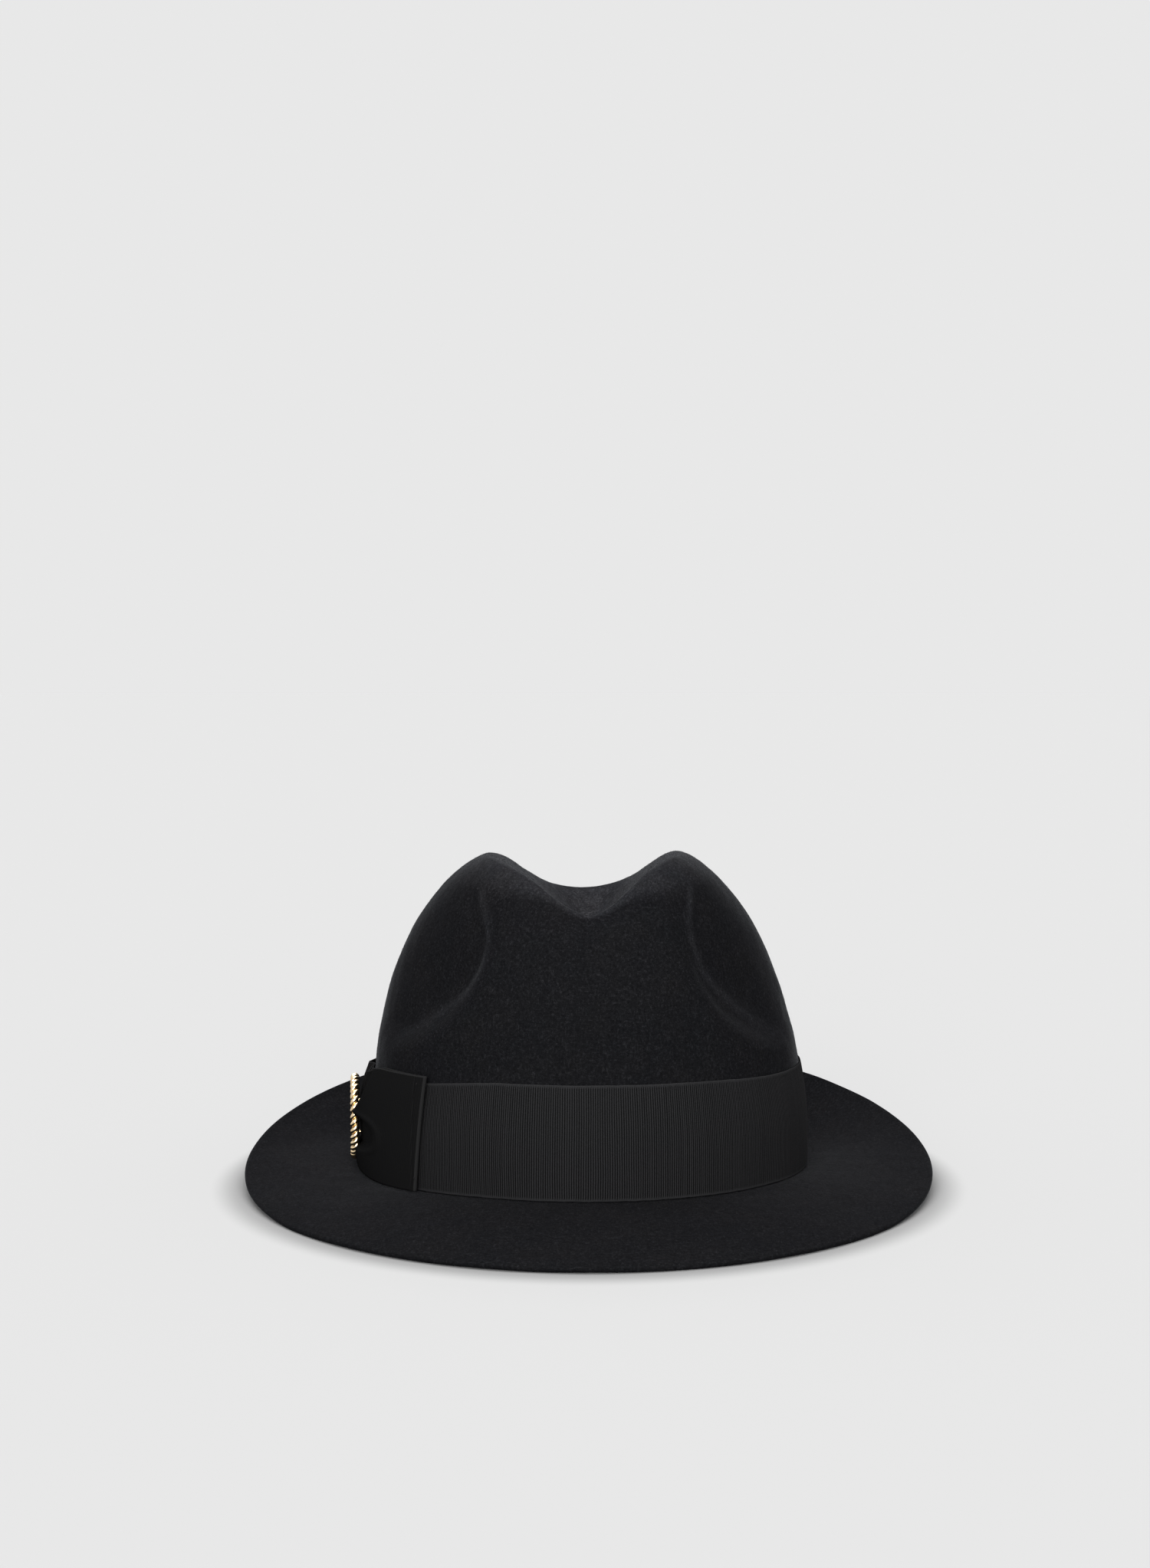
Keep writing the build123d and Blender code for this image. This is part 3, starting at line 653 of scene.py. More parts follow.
def brim_grids(first, last):
    """Outline of a stretch of the brim: top from crown to edge, round it, and underside back."""
    a = np.linspace(first, last, BRIM_COLUMNS)
    angle, reach = np.meshgrid(a, np.linspace(0.0, 1.0, BEDGE_ROWS) ** 0.9, indexing="ij")
    top = brim_point(angle, reach)
    inwards = stack(-np.sin(a), np.cos(a), 0 * a)
    normal = grid_normals(top, wrap=False)
    if normal[BRIM_COLUMNS // 2, BEDGE_ROWS // 2, 2] < 0:
        normal = -normal
    top = top + normal * (wavy(top, BRIM_WAVES) * smooth(reach * 6))[..., None]
    under = top - normal * FELT
    under[:, 0] = under[:, 0] + inwards * FELT
    middle = (top[:, -1] + under[:, -1]) / 2
    half = (top[:, -1] - under[:, -1]) / 2
    edge = []
    for turn in np.radians(np.linspace(90, -90, EDGE_ROWS)):
        c, s = math.cos(turn), math.sin(turn)
        edge.append(middle + half * s - inwards * (FELT / 2 * (c - 1)))
    inset = inwards[:, None] * (FELT / 2) * smooth((reach - 0.9) * 10)[..., None]
    top, under = top + inset, under + inset
    outline = np.concatenate([top[:, :-1], np.stack(edge, 1), under[:, -2::-1]], 1)
    outline[..., 2] = np.maximum(outline[..., 2], FLOOR_GAP)
    return outline, normal


def closed_outline(name, outline):
    """Solid whose section at each row of a grid is a closed outline."""
    rows, columns = outline.shape[:2]
    faces = grid_faces(rows, columns, False, wrap_across=True).tolist()
    for start in (0, (rows - 1) * columns):
        for k in range(columns // 2 - 1):
            end = start + columns - 1 - k
            faces.append([start + k, start + k + 1, end - 1, end])
    return add_mesh(name, outline.reshape(-1, 3), faces, sharp=32)


def nap_piece(name, points, normals, wrap, count, seed):
    """Loose fibres of the felt, each a thin three-sided spike that lies along the surface."""
    rng = np.random.default_rng(seed)
    rows = points.shape[0]
    around = np.linalg.norm(np.roll(points, -1, 0) - points, axis=-1)[:, :-1]
    across = np.linalg.norm(points[:, 1:] - points[:, :-1], axis=-1)
    area = (around * across)[: rows if wrap else rows - 1]
    pick = rng.choice(area.size, count, p=(area / area.sum()).ravel())
    i, j = np.unravel_index(pick, area.shape)
    k = (i + 1) % rows
    f, g = rng.random(count)[:, None], rng.random(count)[:, None]
    root = (points[i, j] * (1 - f) * (1 - g) + points[k, j] * f * (1 - g)
            + points[i, j + 1] * (1 - f) * g + points[k, j + 1] * f * g)
    normal = normals[i, j]
    lie = np.cross(normal, rng.normal(size=(count, 3)))
    lie /= np.linalg.norm(lie, axis=1, keepdims=True)
    lift = rng.uniform(0.02, 0.6, count)[:, None] ** 1.5
    size = (NAP_LENGTH * rng.uniform(0.4, 1.3, count))[:, None]
    tip = root + (lie + normal * lift) * size + normal * 0.03
    side = np.cross(lie, normal)
    width = rng.uniform(0.02, 0.045, count)[:, None]
    base = root - normal * 0.04
    corners = [base + side * width, base - side * width, base + normal * width * 1.6, tip]
    start = np.arange(count)[:, None, None] * 4
    faces = start + np.array([[0, 1, 3], [1, 2, 3], [2, 0, 3], [0, 2, 1]])
    mesh = bpy.data.meshes.new(name)
    vertices = np.stack(corners, 1).reshape(-1, 3) * MM
    mesh.from_pydata(vertices.tolist(), [], faces.reshape(-1, 3).tolist())
    piece = bpy.data.objects.new(name, mesh)
    bpy.context.scene.collection.objects.link(piece)
    return dress(piece, NAP_LOOK)


def make_felt():
    outer, inner, normal, painted_highlight = crown_grids()
    crown = shell("crown_felt", outer, inner, wrap=True, weld=0.001, sharp=55,
                  close_first=False, painted_highlight=painted_highlight)
    attach(crown, FELT_LOOK, "felt_crown")
    nap = nap_piece("crown_nap", outer, normal, True, CROWN_FIBRES, CROWN_SEED)
    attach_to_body(nap, "hat")
    far, bow = math.pi / 2, 3 * math.pi / 2
    bends = (
        ("front", -far, far, 17, (0, FRONT_HINGE_Y + 2.0, 11), (0, FRONT_HINGE_Y - 26.0, 11)),
        ("rear", far, bow, 16, (0, REAR_HINGE_Y - 2.5, 4.5), (0, REAR_HINGE_Y + 40.0, 4.5)),
    )
    for side, first, last, seed, start, end in bends:
        outline, top_normal = brim_grids(first, last)
        felt = closed_outline(f"brim_{side}_felt", outline)
        dress(felt, FELT_LOOK)
        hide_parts(f"felt_brim_{side}")
        top = outline[:, :BEDGE_ROWS]
        hairs = nap_piece(f"brim_{side}_nap", top, top_normal, False, BRIM_FIBRES, seed)
        for piece in (felt, hairs):
            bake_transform(piece)


# ---------------------------------------------------------------- ribbon
RIB_PITCH = 0.875
RIB_HEIGHT = 0.13
RIB_SAMPLES = 4
RIB_SEED = 7
RIB_OUT = 0.45  # a groove's distance from the ribbon's inner face
RIB_WAVES = ((0.05, 12.0, 21), (0.02, 5.0, 22))
EDGE_WIDTH = 0.009  # share of the height that each woven edge takes
ANGLE_STEPS = 4000


def angle_table():
    """Angles round the band and the distance along it at each."""
    a = np.linspace(0, TAU, ANGLE_STEPS + 1)
    points = band_point(a, BAND_H / 2 + 0 * a, 1.0 + 0 * a)
    step = np.linalg.norm(np.diff(points, axis=0), axis=1)
    return a, np.concatenate([[0], np.cumsum(step)])


BAND_ANGLES, BAND_LENGTHS = angle_table()
BAND_ROUND = BAND_LENGTHS[-1]


def angle_at(distance):
    return np.interp(np.mod(distance, BAND_ROUND), BAND_LENGTHS, BAND_ANGLES)


def band_dip(a):
    """How much lower the ribbon's top edge lies at the sides, most of all under the bow."""
    side = np.sin(a)
    bow, far = 4.6 * smooth((-side - 0.35) / 0.6), 1.3 * smooth((side - 0.4) / 0.5)
    return np.where(side < 0, bow, far)


def rib_shape(phase):
    """Rounded ribs with narrow grooves between them: 0 in a groove and 1 on a rib."""
    return np.abs(np.sin(np.pi * phase)) ** 1.5


def make_band():
    rng = np.random.default_rng(RIB_SEED)
    ribs = round(BAND_ROUND / RIB_PITCH)
    columns = ribs * RIB_SAMPLES
    phase = (np.arange(columns) + 0.5) / RIB_SAMPLES
    distance = np.arange(columns) * BAND_ROUND / columns
    unevenness = np.repeat(rng.normal(0, 0.02, ribs), RIB_SAMPLES)
    tone = np.repeat(rng.uniform(0.92, 1.06, ribs), RIB_SAMPLES)
    share = np.concatenate([[0, 0.008, 0.03], np.linspace(0.1, 0.9, 9), [0.97, 0.992, 1]])
    d, w = np.meshgrid(distance + unevenness, share, indexing="ij")
    low = BAND_FOOT - foot_sag(angle_at(d))
    height = low + (BAND_H - band_dip(angle_at(d)) - low) * w
    place = band_point(angle_at(d), height, 0 * d)
    (size, length, seed), fine = RIB_WAVES
    shift = size * waves(place * (1, 1, 0.5), length, seed) + wavy(place, (fine,))
    off_middle = np.abs(w - 0.5)
    ridge = rib_shape(np.broadcast_to(phase[:, None], d.shape))
    ridge = np.where(off_middle > 0.5 - EDGE_WIDTH, 0.9, ridge)
    swell = BAND_BULGE * np.sin(np.pi * w) + 0.10 * waves(place, 30.0, 23)
    fall = 1 - 0.5 * (off_middle > 0.49)
    out = BAND_GAP + RIB_OUT + swell + ridge * RIB_HEIGHT * fall
    height = height + 0.04 * waves(place, 6.0, 24)
    outer = band_point(angle_at(d + shift), height, out)
    inner = band_point(angle_at(d + shift), height, BAND_GAP + 0 * d)
    band = shell("hatband", outer, inner, wrap=True)
    # Colour values: grooves take the painted shade, ribs the ribbon's colour.
    shown = ridge * tone[:, None]
    add_values(band.data, "rib", np.concatenate([shown.ravel(), 0 * shown.ravel()]))
    attach(band, RIBBON_LOOK, "hatband_ribbon")


# ---------------------------------------------------------------- bow
PLY_LOW = 2.05  # distance out of a loop's back ply
FOLD_RADIUS = 0.65
BOW_PLY = 0.42
BOW_FRONT_TOP_Y, BOW_FRONT_LOW_Y, BOW_REAR_Y, BOW_REAR_LEAN = -72.7, -69.4, 49.0, 1.5
LOOP_START = 5.0  # where the loops come out of the wrap
LOOP_ROWS = 76
BOW_RIB = 0.75  # rib value of the bow, below 1 so that only the edges pass 1 and take the painted highlight
HIGHLIGHT_RIB = 1.8  # rib value of the fold and the top edge, which take the painted highlight
LOOP_RELIEF = 0.02
LOOP_TOP = {1: (36.6, 5.4), -1: (33.6, 3.4)}  # height at the wrap, and rise from there
LOOP_LOW, LOOP_LOW_DROP = 1.6, 1.2
LOOP_PUFF = 4.6  # how far a loop stands out near the wrap
UPPER_Z, UPPER_RISE, UPPER_LENGTH = 22.5, 19.5, 31.0  # line that the ribbon falls back above
RECESS_S, RECESS_Z, RECESS_LEAN, RECESS_LONG, RECESS_TALL = 8.0, 13.3, 0.03, 29.0, 7.6
UPPER_DENT, RECESS_DENT = 4.0, 3.4
UPPER_RIM, RECESS_RIM = 0.45, 0.50
FOLD_CREASE, FOLD_CREASE_AT, FOLD_CREASE_WIDTH = 0.55, 1.6, 0.4


def distance_at_y(y):
    """Distance along the band on the -X side where it passes y."""
    a = BAND_ANGLES[ANGLE_STEPS // 2:]
    points = band_point(a, BAND_H / 2 + 0 * a, 1.0 + 0 * a)
    return float(np.interp(-y, -points[:, 1], BAND_LENGTHS[ANGLE_STEPS // 2:]))


BOW_MIDDLE = distance_at_y(BOW_Y)


def loop_surface(s, w, length, ply, sign):
    """Height and distance out of one ply of a loop at distance s from the bow's middle."""
    near = np.clip(s / length, 0, 1)
    at_wrap, rise = LOOP_TOP[sign]
    top = at_wrap + rise * smooth(near * 1.6)
    sag = foot_sag(angle_at(BOW_MIDDLE + sign * s))
    low = LOOP_LOW - LOOP_LOW_DROP * smooth(near * 1.45) - sag
    height = low + (top - low) * w
    if ply == "back":
        return height, PLY_LOW + 0 * s
    tall = LOOP_PUFF * (1 - smooth((near - 0.12) / 0.88)) ** 1.1
    body = 1 - 0.42 * np.abs((height - 20.5) / 21.0) ** 2.2
    upper = UPPER_Z + UPPER_RISE * (np.maximum(s, 0) / UPPER_LENGTH) ** 2.6
    below = np.abs((s - RECESS_S) / RECESS_LONG) ** 2.5
    below = (below + np.abs((height - RECESS_Z - RECESS_LEAN * s) / RECESS_TALL) ** 2.5) ** 0.4
    dents = UPPER_DENT * smooth((height - upper) / 3.5 + 0.3)
    dents = dents + RECESS_DENT * (1 - smooth((below - 0.62) / 0.34))
    rims = UPPER_RIM * bell(height - upper + 3.0, 1.3) * (1 - smooth((s - 26) / 8))
    rims = rims + RECESS_RIM * bell(below - 1.07, 0.09) * smooth((height - 6) / 5)
    flat = PLY_LOW + 2 * FOLD_RADIUS
    gather = 0.10 * np.sin(height * 3.1 + 0.15 * s) * np.exp(-s / 12.0)
    slack = 0.25 * np.sin(np.pi * np.clip(w, 0, 1)) * np.sin(np.pi * near)
    crease = FOLD_CREASE * bell(length - FOLD_CREASE_AT - s, FOLD_CREASE_WIDTH)
    out = flat + tall * body + rims + gather - slack - crease
    return height, np.maximum(out - dents, PLY_LOW + BOW_PLY + 0.25)


def make_loop(name, node, sign, length_top, length_low):
    """One loop of the bow: back ply out to the fold, round it, and the outer ply back."""
    across = np.linspace(0, 1, LOOP_ROWS)
    ply = np.linspace(0, 1, int(length_low / RIB_PITCH * RIB_SAMPLES))
    fold = np.radians(np.linspace(-90, 90, 11)[1:-1])
    fold_s = length_low + (length_top - length_low) * across - FOLD_RADIUS
    rows, ribs = [], []
    for kind, steps in (("back", ply), ("fold", fold), ("outer", ply[::-1])):
        for step in steps:
            if kind == "fold":
                height = loop_surface(fold_s, across, length_low, "back", sign)[0]
                s = fold_s + FOLD_RADIUS * math.cos(step)
                out = PLY_LOW + FOLD_RADIUS + FOLD_RADIUS * math.sin(step)
                rows.append((s, height, out + 0 * s))
                ribs.append(HIGHLIGHT_RIB)
            else:
                s = LOOP_START + (fold_s - LOOP_START) * step
                rows.append((s, *loop_surface(s, across, length_low, kind, sign)))
                ribs.append(BOW_RIB * rib_shape(step * round(length_low / RIB_PITCH)))
    s, height, out = (np.stack([row[k] for row in rows]) for k in range(3))
    ridge = np.broadcast_to(np.array(ribs)[:, None], s.shape)
    # Colour values: grooves darker as painted shade, and the fold and the top edge with the painted
    # highlight.
    shown = ridge.copy()
    shown[:, -1] = HIGHLIGHT_RIB
    angle = angle_at(BOW_MIDDLE + sign * s)
    middle = band_point(angle, height, out)
    normal = grid_normals(middle, wrap=False)
    outwards = band_point(angle, height, out + 1.0) - middle
    if np.sum(normal[-20] * outwards[-20]) < 0:
        normal = -normal
    thick = BOW_PLY / 2
    outer = middle + normal * (thick + LOOP_RELIEF * np.minimum(ridge, 1)[..., None])
    loop = shell(name, outer, middle - normal * thick, wrap=False)
    add_values(loop.data, "rib", np.concatenate([shown.ravel(), shown.ravel()]))
    attach(loop, BOW_LOOK, node)


def make_wrap():
    """Gathered wrap round the middle of the bow, behind the ornament."""
    half_width, foot, tall, inside = 6.4, 6.2, 29.4, 1.5
    s, h = np.meshgrid(
        np.linspace(-half_width, half_width, 60), np.linspace(0, 1, 70), indexing="ij")
    height = foot + tall * h
    dome = np.sin(np.pi * h) ** 0.35
    pleat = 0.22 * np.sin(s * 2.4 + 0.8 * np.sin(h * 5)) * np.sin(np.pi * h) ** 0.5
    edge = np.sqrt(np.clip(1 - (np.abs(s) / (half_width + 0.1)) ** 6, 0, 1))
    out = inside + 0.1 + 3.6 * dome * edge + pleat
    angle = angle_at(BOW_MIDDLE + s)
    outer = band_point(angle, height, out)
    inner = band_point(angle, height, inside + 0 * s)
    wrap = shell("bow_knot", outer, inner, wrap=False)
    # Rib values for the colour, with painted shade in the grooves.
    ridge = BOW_RIB * rib_shape(h * 30 / RIB_PITCH)
    add_values(wrap.data, "rib", np.concatenate([ridge.ravel(), 0 * ridge.ravel()]))
    attach(wrap, BOW_LOOK, "bow_wrap")


def make_bow():
    top = distance_at_y(BOW_FRONT_TOP_Y) - BOW_MIDDLE
    low = distance_at_y(BOW_FRONT_LOW_Y) - BOW_MIDDLE
    make_loop("bow_front", "bow_front_loop", 1, top, low)
    rear = BOW_MIDDLE - distance_at_y(BOW_REAR_Y)
    make_loop("bow_rear", "bow_rear_loop", -1, rear + BOW_REAR_LEAN, rear - BOW_REAR_LEAN)
    make_wrap()


# ---------------------------------------------------------------- camera, light and floor
PHOTO_TALL = 2046.0  # the photo's height in pixels, for the camera's shift
BACKGROUND = 0.8075
FLOOR_DIFFUSE = 0.20
FLOOR_SIZE = 60.0  # metres
SUNS = (("key", 4.4, (0.06, 1.0, -0.36), 50), ("top", 3.6, (0.05, -0.30, -1.0), 60))
SHADE_LOW, SHADE_WIDTH = 0.0, 16.0  # painted contact shade: share of the floor's glow left under the brim, and the width of its fade


def make_camera():
    """Level camera in front of the hat; the shift frames the hat low in a tall picture."""
    data = bpy.data.cameras.new("camera")
    data.lens = 50.0
    data.sensor_width = 36.0
    data.sensor_fit = "AUTO"
    data.shift_x = -18.0 / PHOTO_TALL
    data.shift_y = -127.0 / PHOTO_TALL
    camera = bpy.data.objects.new("camera", data)
    bpy.context.scene.collection.objects.link(camera)
    camera.location = (0.0, -0.8936, 0.200)
    camera.rotation_euler = (math.pi / 2, 0, 0)
    bpy.context.scene.camera = camera


def sun_light(name, toward, strength, spread):
    """Soft light from far away, so that it falls evenly on the whole floor."""
    data = bpy.data.lights.new(name, "SUN")
    data.energy = strength
    data.angle = math.radians(spread)
    light = bpy.data.objects.new(name, data)
    bpy.context.scene.collection.objects.link(light)
    light.rotation_euler = Vector(toward).to_track_quat("-Z", "Y").to_euler()


def floor_material(glow_open):
    """Floor that glows a little, less under the brim's outline, where the missing glow is a painted
    soft shade.
    """
    grey = (FLOOR_DIFFUSE, FLOOR_DIFFUSE, FLOOR_DIFFUSE, 1)
    look = Look("floor", {
        "Base Color": grey, "Roughness": 1.0, "Specular IOR Level": 0.0, "Emission Strength": 1.0,
    })
    length = look.nodes.new("ShaderNodeVectorMath")
    length.operation = "LENGTH"
    look.links.new(look.place((1 / (BRIM_A * MM), 1 / (BRIM_L * MM), 0)), length.inputs[0])
    shade = look.nodes.new("ShaderNodeMapRange")
    shade.interpolation_type = "SMOOTHSTEP"
    shade.inputs["From Min"].default_value = 1.0
    shade.inputs["From Max"].default_value = 1.0 + SHADE_WIDTH / BRIM_L
    shade.inputs["To Min"].default_value = SHADE_LOW * glow_open
    shade.inputs["To Max"].default_value = glow_open
    look.links.new(length.outputs["Value"], shade.inputs["Value"])
    glow = look.nodes.new("ShaderNodeCombineColor")
    for socket in glow.inputs[:3]:
        look.links.new(shade.outputs["Result"], socket)
    look.links.new(glow.outputs["Color"], look.shader.inputs["Emission Color"])
    return look.material


def make_studio():
    """White surroundings on every side, and a floor that is just as bright where it is open."""
    scene = bpy.context.scene
    scene.view_settings.view_transform = "Standard"
    world = bpy.data.worlds.new("studio")
    scene.world = world
    world.use_nodes = True
    surroundings = world.node_tree.nodes["Background"]
    surroundings.inputs["Color"].default_value = (BACKGROUND, BACKGROUND, BACKGROUND, 1)
    lit = BACKGROUND
    for name, strength, toward, spread in SUNS:
        toward = Vector(toward).normalized()
        sun_light(name, toward, strength, spread)
        lit += strength * -toward.z / math.pi
    mesh = bpy.data.meshes.new("floor")
    corners = [(x * FLOOR_SIZE, y * FLOOR_SIZE, 0) for x, y in ((-1, -1), (1, -1), (1, 1), (-1, 1))]
    mesh.from_pydata(corners, [], [(0, 1, 2, 3)])
    floor = bpy.data.objects.new("floor", mesh)
    scene.collection.objects.link(floor)
    mesh.materials.append(floor_material(BACKGROUND - FLOOR_DIFFUSE * lit))


# ---------------------------------------------------------------- ornament
ORN_TALL, ORN_LONG, ORN_BAR, ORN_Z, ORN_OUT = 33.6, 25.0, 1.3, 26.0, 7.15
ORN_LINK = 4.6  # radius of each ring in the oval
BEAD_RADIUS, BEAD_RINGS, BEAD_SIDES = 1.25, 10, 14
UP = np.array((0.0, 0.0, 1.0))


def ornament_frame():
    """Middle of the ornament, and its directions along the hat and away from the hat."""
    a = np.array(-math.acos((HEAD_Y - BOW_Y) / HEAD_B))
    height = np.array(ORN_Z - head_plane_z(BOW_Y))
    middle = band_point(a, height, np.array(ORN_OUT))
    flat = np.array(0.0)
    along = band_point(a + 0.02, height, flat) - band_point(a - 0.02, height, flat)
    along[2] = 0
    along /= np.linalg.norm(along)
    out = np.array((along[1], -along[0], 0.0))
    return middle, along, -out if out[0] > 0 else out


def twisted(path_at, turns, offset, count, strands=2):
    """Strands twisted round a closed path, which gives a point, an inward and a face direction."""
    t = np.arange(count) / count
    point, inward, face = path_at(t)
    paths = []
    for k in range(strands):
        phase = TAU * (turns * t + k / strands)
        turned = inward * np.cos(phase)[:, None] + face * np.sin(phase)[:, None]
        paths.append(point + offset * turned)
    return paths


def ball():
    """Points and faces of a round bead of unit radius."""
    polar = np.linspace(0, math.pi, BEAD_RINGS + 1)[1:-1]
    turn = np.arange(BEAD_SIDES) * TAU / BEAD_SIDES
    sine, cosine = np.sin(polar)[:, None], np.cos(polar)[:, None]
    rings = stack(sine * np.cos(turn), sine * np.sin(turn), cosine + 0 * turn)
    points = np.concatenate([[(0, 0, 1)], rings.reshape(-1, 3), [(0, 0, -1)]])
    faces = []
    for j in range(BEAD_SIDES):
        k = (j + 1) % BEAD_SIDES
        faces.append([0, 1 + j, 1 + k])
        for i in range(BEAD_RINGS - 2):
            low = 1 + i * BEAD_SIDES
            faces.append([low + j, low + BEAD_SIDES + j, low + BEAD_SIDES + k, low + k])
        low = 1 + (BEAD_RINGS - 2) * BEAD_SIDES
        faces.append([low + j, len(points) - 1, low + k])
    return points, faces


def make_ornament():
    middle, along, out = ornament_frame()

    def oval(half_long, half_tall, centre=0.0):
        def path_at(t):
            angle = TAU * t
            x, y = half_long * np.cos(angle), half_tall * np.sin(angle)
            point = middle + x[:, None] * along + (y + centre)[:, None] * UP
            inward = -(np.cos(angle) / half_long)[:, None] * along
            inward = inward - (np.sin(angle) / half_tall)[:, None] * UP
            inward /= np.linalg.norm(inward, axis=1, keepdims=True)
            return point, inward, np.broadcast_to(out, point.shape)
        return path_at

    half_long, half_tall = ORN_LONG / 2 - ORN_BAR, ORN_TALL / 2 - ORN_BAR
    strands = twisted(oval(half_long, half_tall), 17, 0.85, 900)
    rope = tubes("ornament_rope", strands, 0.98, 10, closed=True)
    reach = half_tall - ORN_LINK
    rings = []
    for k in (-1, 0, 1):
        rings += twisted(oval(ORN_LINK, ORN_LINK, k * reach), 9, 0.5, 260)
    chain = tubes("ornament_links", rings, 0.68, 8, closed=True)
    points, faces = [], []
    unit, unit_faces = ball()
    for side in (-1, 1):
        for x, y in ((0.0, reach / 2), (ORN_LINK + 1.6, 0.0), (ORN_LINK + 0.6, reach * 0.62)):
            for flip in (-1, 1) if x else (1,):
                start = len(points) * len(unit)
                spot = middle + along * x * flip + UP * y * side
                points.append(spot + unit * BEAD_RADIUS)
                faces += [[start + corner for corner in face] for face in unit_faces]
    beads = add_mesh("ornament_beads", np.concatenate(points), faces)
    attach(rope, GOLD_LOOK, "ornament")
    attach(chain, GOLD_LOOK)
    attach(beads, GOLD_LOOK)


# ---------------------------------------------------------------- inside of the hat
ROUND_A, ROUND_B = 90, 100  # rough half sizes of the hat, for the random waves
SWEAT_SAMPLES, LINING_SAMPLES = 720, 810
SWEAT_WAVES = ((0.10, 26.0, 41), (0.04, 7.0, 42))
SEW_RISE = 2.0  # height of the row of stitches above the band's foot
ROW_STITCHES, SEAM_STITCHES = 80, 8
TACK_ANGLES = (20, 60, 100, 140, 180, 220)
BOW_TACK_YS = (-68.9, 45.4)
PLEATS = 110
CORD_STEPS, CORD_TURNS, CORD_STRANDS, CORD_TWIST, CORD_STRAND_R = 3000, 260, 3, 0.42, 0.52


def make_sweatband():
    top, low, face, back = SWEAT_H, SWEAT_FOOT, -SWEAT_OUT - SWEAT_T, -SWEAT_OUT
    rise = np.linspace(low + 0.3, top - 0.3, 34)
    profile = [(low, back - 0.3), (low, face + 0.3)] + [(h, face) for h in rise]
    profile += [(top, face + 0.3), (top, back - 0.3)] + [(h, back) for h in rise[::-6]]

    def push(a, height, out):
        """Groove near the top, dimple along the stitches, and an uneven face."""
        inner = out < -SWEAT_OUT - 0.5
        place = stack(ROUND_A * np.sin(a), ROUND_B * np.cos(a), height)
        groove = -0.22 * bell(height - 35.6, 0.35)
        dimple = -0.25 * bell(height - low - SEW_RISE, 0.7)
        wave = wavy(place, SWEAT_WAVES) - 0.12
        return inner * (-wave - groove - dimple) * np.minimum(1, (top - height) + 0.3)

    leather = swept("sweatband_leather", profile, SWEAT_SAMPLES, push)
    attach(leather, LEATHER_LOOK, "sweatband")


def thread_path(a, height, out, length, lean=0.0, arch=0.25):
    """Short stitch at angle a that rises a little from what it is sewn to."""
    t = np.linspace(-1, 1, 9)
    height, out = np.array(height), np.array(out)
    middle = band_point(np.array(a), height, out)
    step = band_point(np.array(a + 0.01), height, out) - band_point(np.array(a - 0.01), height, out)
    along = step / np.linalg.norm(step)
    away = np.cross(along, UP)
    turn = math.radians(lean)
    line = along * math.cos(turn) + UP * math.sin(turn)
    sign = 1 if out < 0 else -1
    bow = (sign * arch * t ** 2)[:, None] * away * (1 if away @ middle > 0 else -1)
    return middle + (t * (length / 2 - 0.3))[:, None] * line + bow


def make_stitches():
    inside = -SWEAT_OUT - SWEAT_T - 0.35
    angles = np.arange(ROW_STITCHES) * TAU / ROW_STITCHES
    around = [thread_path(a, SWEAT_FOOT + SEW_RISE, inside, 4.5) for a in angles]
    zigzag = [thread_path(math.pi, 19.5 + 2.2 * k, inside, 3.6, 25 * (-1) ** k)
              for k in range(SEAM_STITCHES)]
    outside = BAND_GAP + BAND_T + 0.45
    upright = [thread_path(a, BAND_H - 1.2 - float(band_dip(a)), outside, 1.4, 90, 0.2)
               for a in map(math.radians, TACK_ANGLES)]
    corners = []
    for y in BOW_TACK_YS:
        a = -math.acos((HEAD_Y - y) / HEAD_B)
        out = PLY_LOW + 2 * FOLD_RADIUS + BOW_PLY / 2 + 0.12
        corners += [thread_path(a, height, out, 1.5, 80, 0.2) for height in (3.2, BAND_H - 3.2)]
    for name, paths, radius, look, slot, node in (
            ("sweatband_row", around, 0.3, THREAD_LOOK, "sweatband_thread", "sweatband_stitches"),
            ("sweatband_zigzag", zigzag, 0.3, THREAD_LOOK, "sweatband_thread", "sweatband_seam"),
            ("ribbon_threads", upright, 0.14, BLACK_THREAD_LOOK, "black_thread", "ribbon_tacks"),
            ("bow_threads", corners, 0.18, BLACK_THREAD_LOOK, "black_thread", "bow_tacks")):
        attach(tubes(name, paths, radius), look, node)


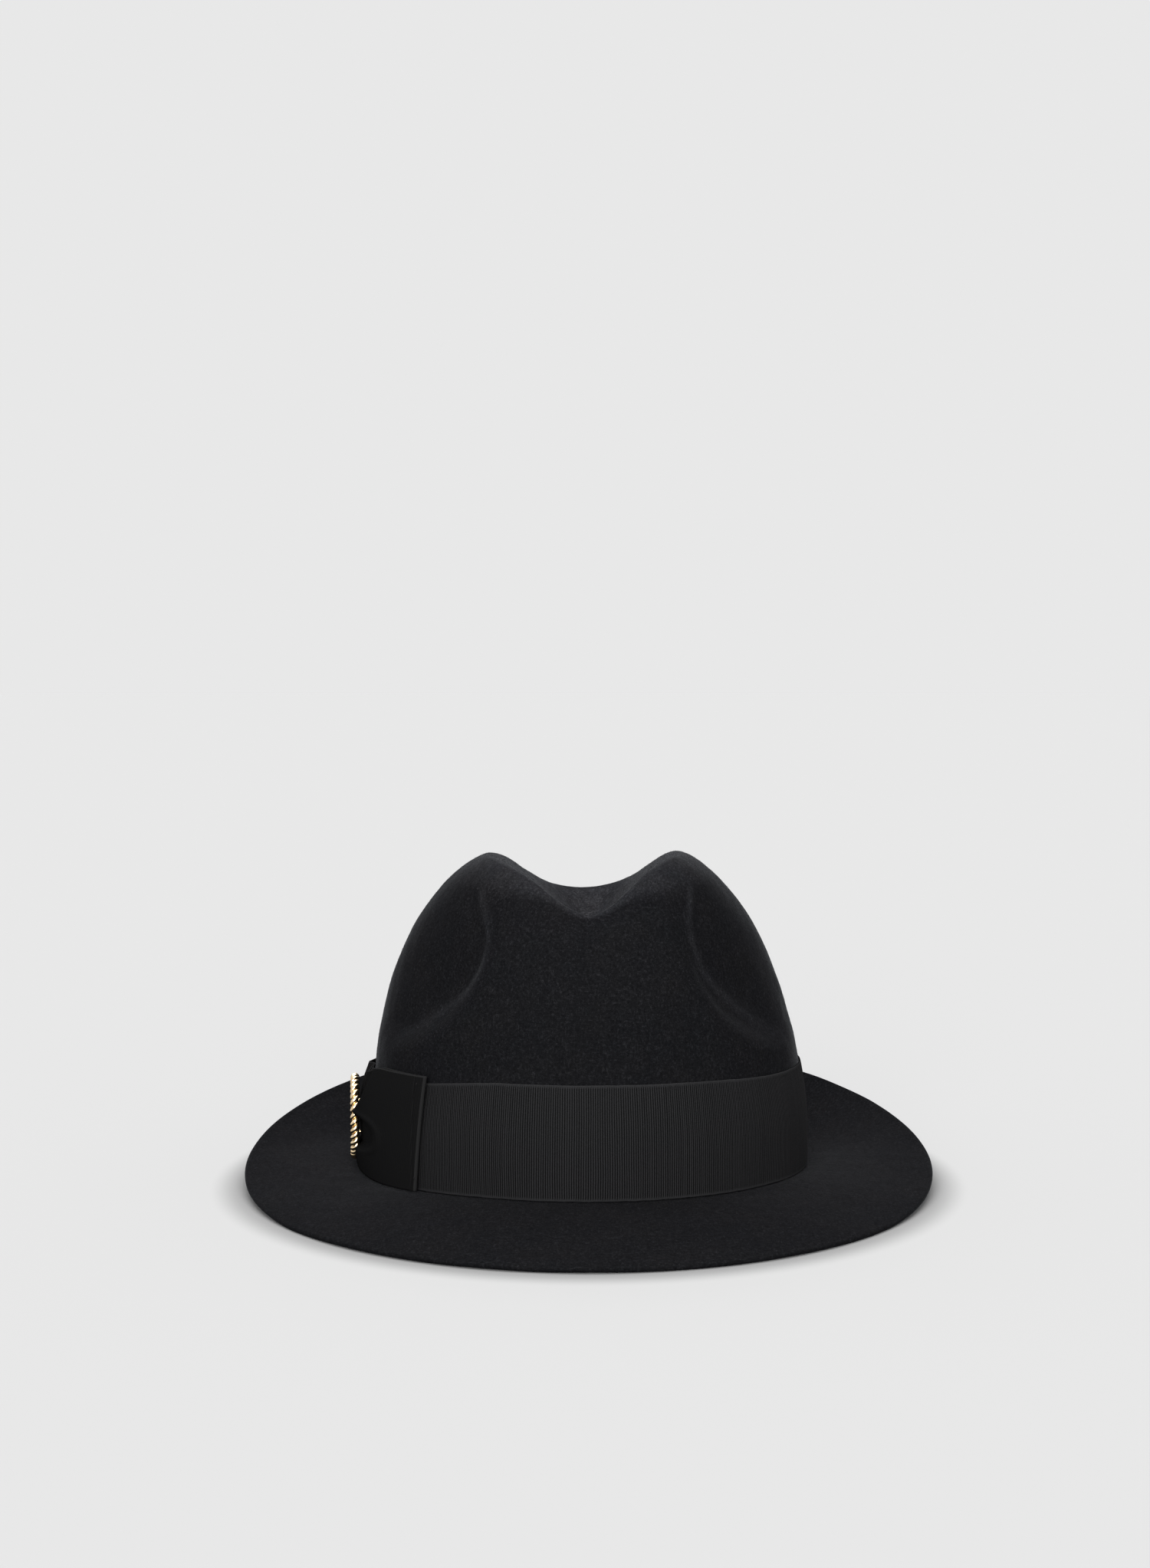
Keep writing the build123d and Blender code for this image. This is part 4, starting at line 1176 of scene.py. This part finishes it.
def make_lining():
    rise = np.linspace(LINING_FOOT, TIP_H - 0.6, 60)
    inwards = np.maximum(rise - SWEAT_H, 0) / (TIP_H - SWEAT_H)
    face = -LINING_OUT - TIP_IN * inwards ** 1.25
    profile = list(zip(rise, face)) + list(zip(rise[::-1], face[::-1] - LINING_T))

    def push(a, height, out):
        """Pleats that deepen towards the top."""
        share = smooth((height - SWEAT_H - 2) / 30)
        place = stack(ROUND_A * np.sin(a), ROUND_B * np.cos(a), 0 * height)
        bend = 0.35 * waves(place, 40.0, 51)
        pleat = np.sin(PLEATS * a + 3 * bend + 0.6 * np.sin(height / 9.0))
        return -share * (0.5 + 0.35 * pleat + 0.5 * np.abs(bend))

    side = swept("lining_cloth", profile, LINING_SAMPLES, push)
    attach(side, SATIN_LOOK, "lining_side")

    turn = np.arange(300) * TAU / 300
    a, r = np.meshgrid(turn, np.linspace(0, 1, 40), indexing="ij")
    rim = band_point(turn, TIP_H + 0 * turn, -(LINING_OUT + TIP_IN - 1.0) + 0 * turn)
    centre = np.array((0.0, rim[:, 1].mean(), rim[:, 2].mean()))
    flat = centre + (rim[:, None] - centre) * r[..., None]
    pucker = 0.3 * smooth((r - 0.75) * 4) * np.sin(PLEATS * a)
    pucker = pucker + 0.5 * waves(flat, 45.0, 52) * (1 - r)
    low = flat + stack(0, 0, 1) * (0.1 + pucker * 0.4)[..., None]
    top = low + (0, 0, LINING_T)
    tip = shell("lining_top", top, low, wrap=True, weld=0.001, close_first=False)
    attach(tip, SATIN_LOOK, "lining_tip")

    angle = np.arange(CORD_STEPS) * TAU / CORD_STEPS
    cord_out = -LINING_OUT - TIP_IN - LINING_T - 1.6
    strands = []
    for k in range(CORD_STRANDS):
        lay = CORD_TURNS * angle + TAU * k / CORD_STRANDS
        height = TIP_H - 1.3 + CORD_TWIST * np.sin(lay)
        strands.append(band_point(angle, height, cord_out + CORD_TWIST * np.cos(lay)))
    cord = tubes("lining_cord", strands, CORD_STRAND_R, 6, closed=True)
    attach(cord, PIPING_LOOK, "lining_piping")


make_camera()
make_studio()
make_felt()
make_band()
make_bow()
make_ornament()
make_sweatband()
make_stitches()
make_lining()

# CAD parts that show as they are, with materials of their own.
looks = {
    "ornament_posts": GOLD_LOOK, "sweatband_reed": REED_LOOK,
    "reed_tape": TAPE_LOOK, "sweatband_bow": SMALL_BOW_LOOK, "tip_shield": CLEAR_LOOK,
}
for name, look in looks.items():
    nodes[name].data.materials.clear()
    nodes[name].data.materials.append(look)

bpy.context.view_layer.update()
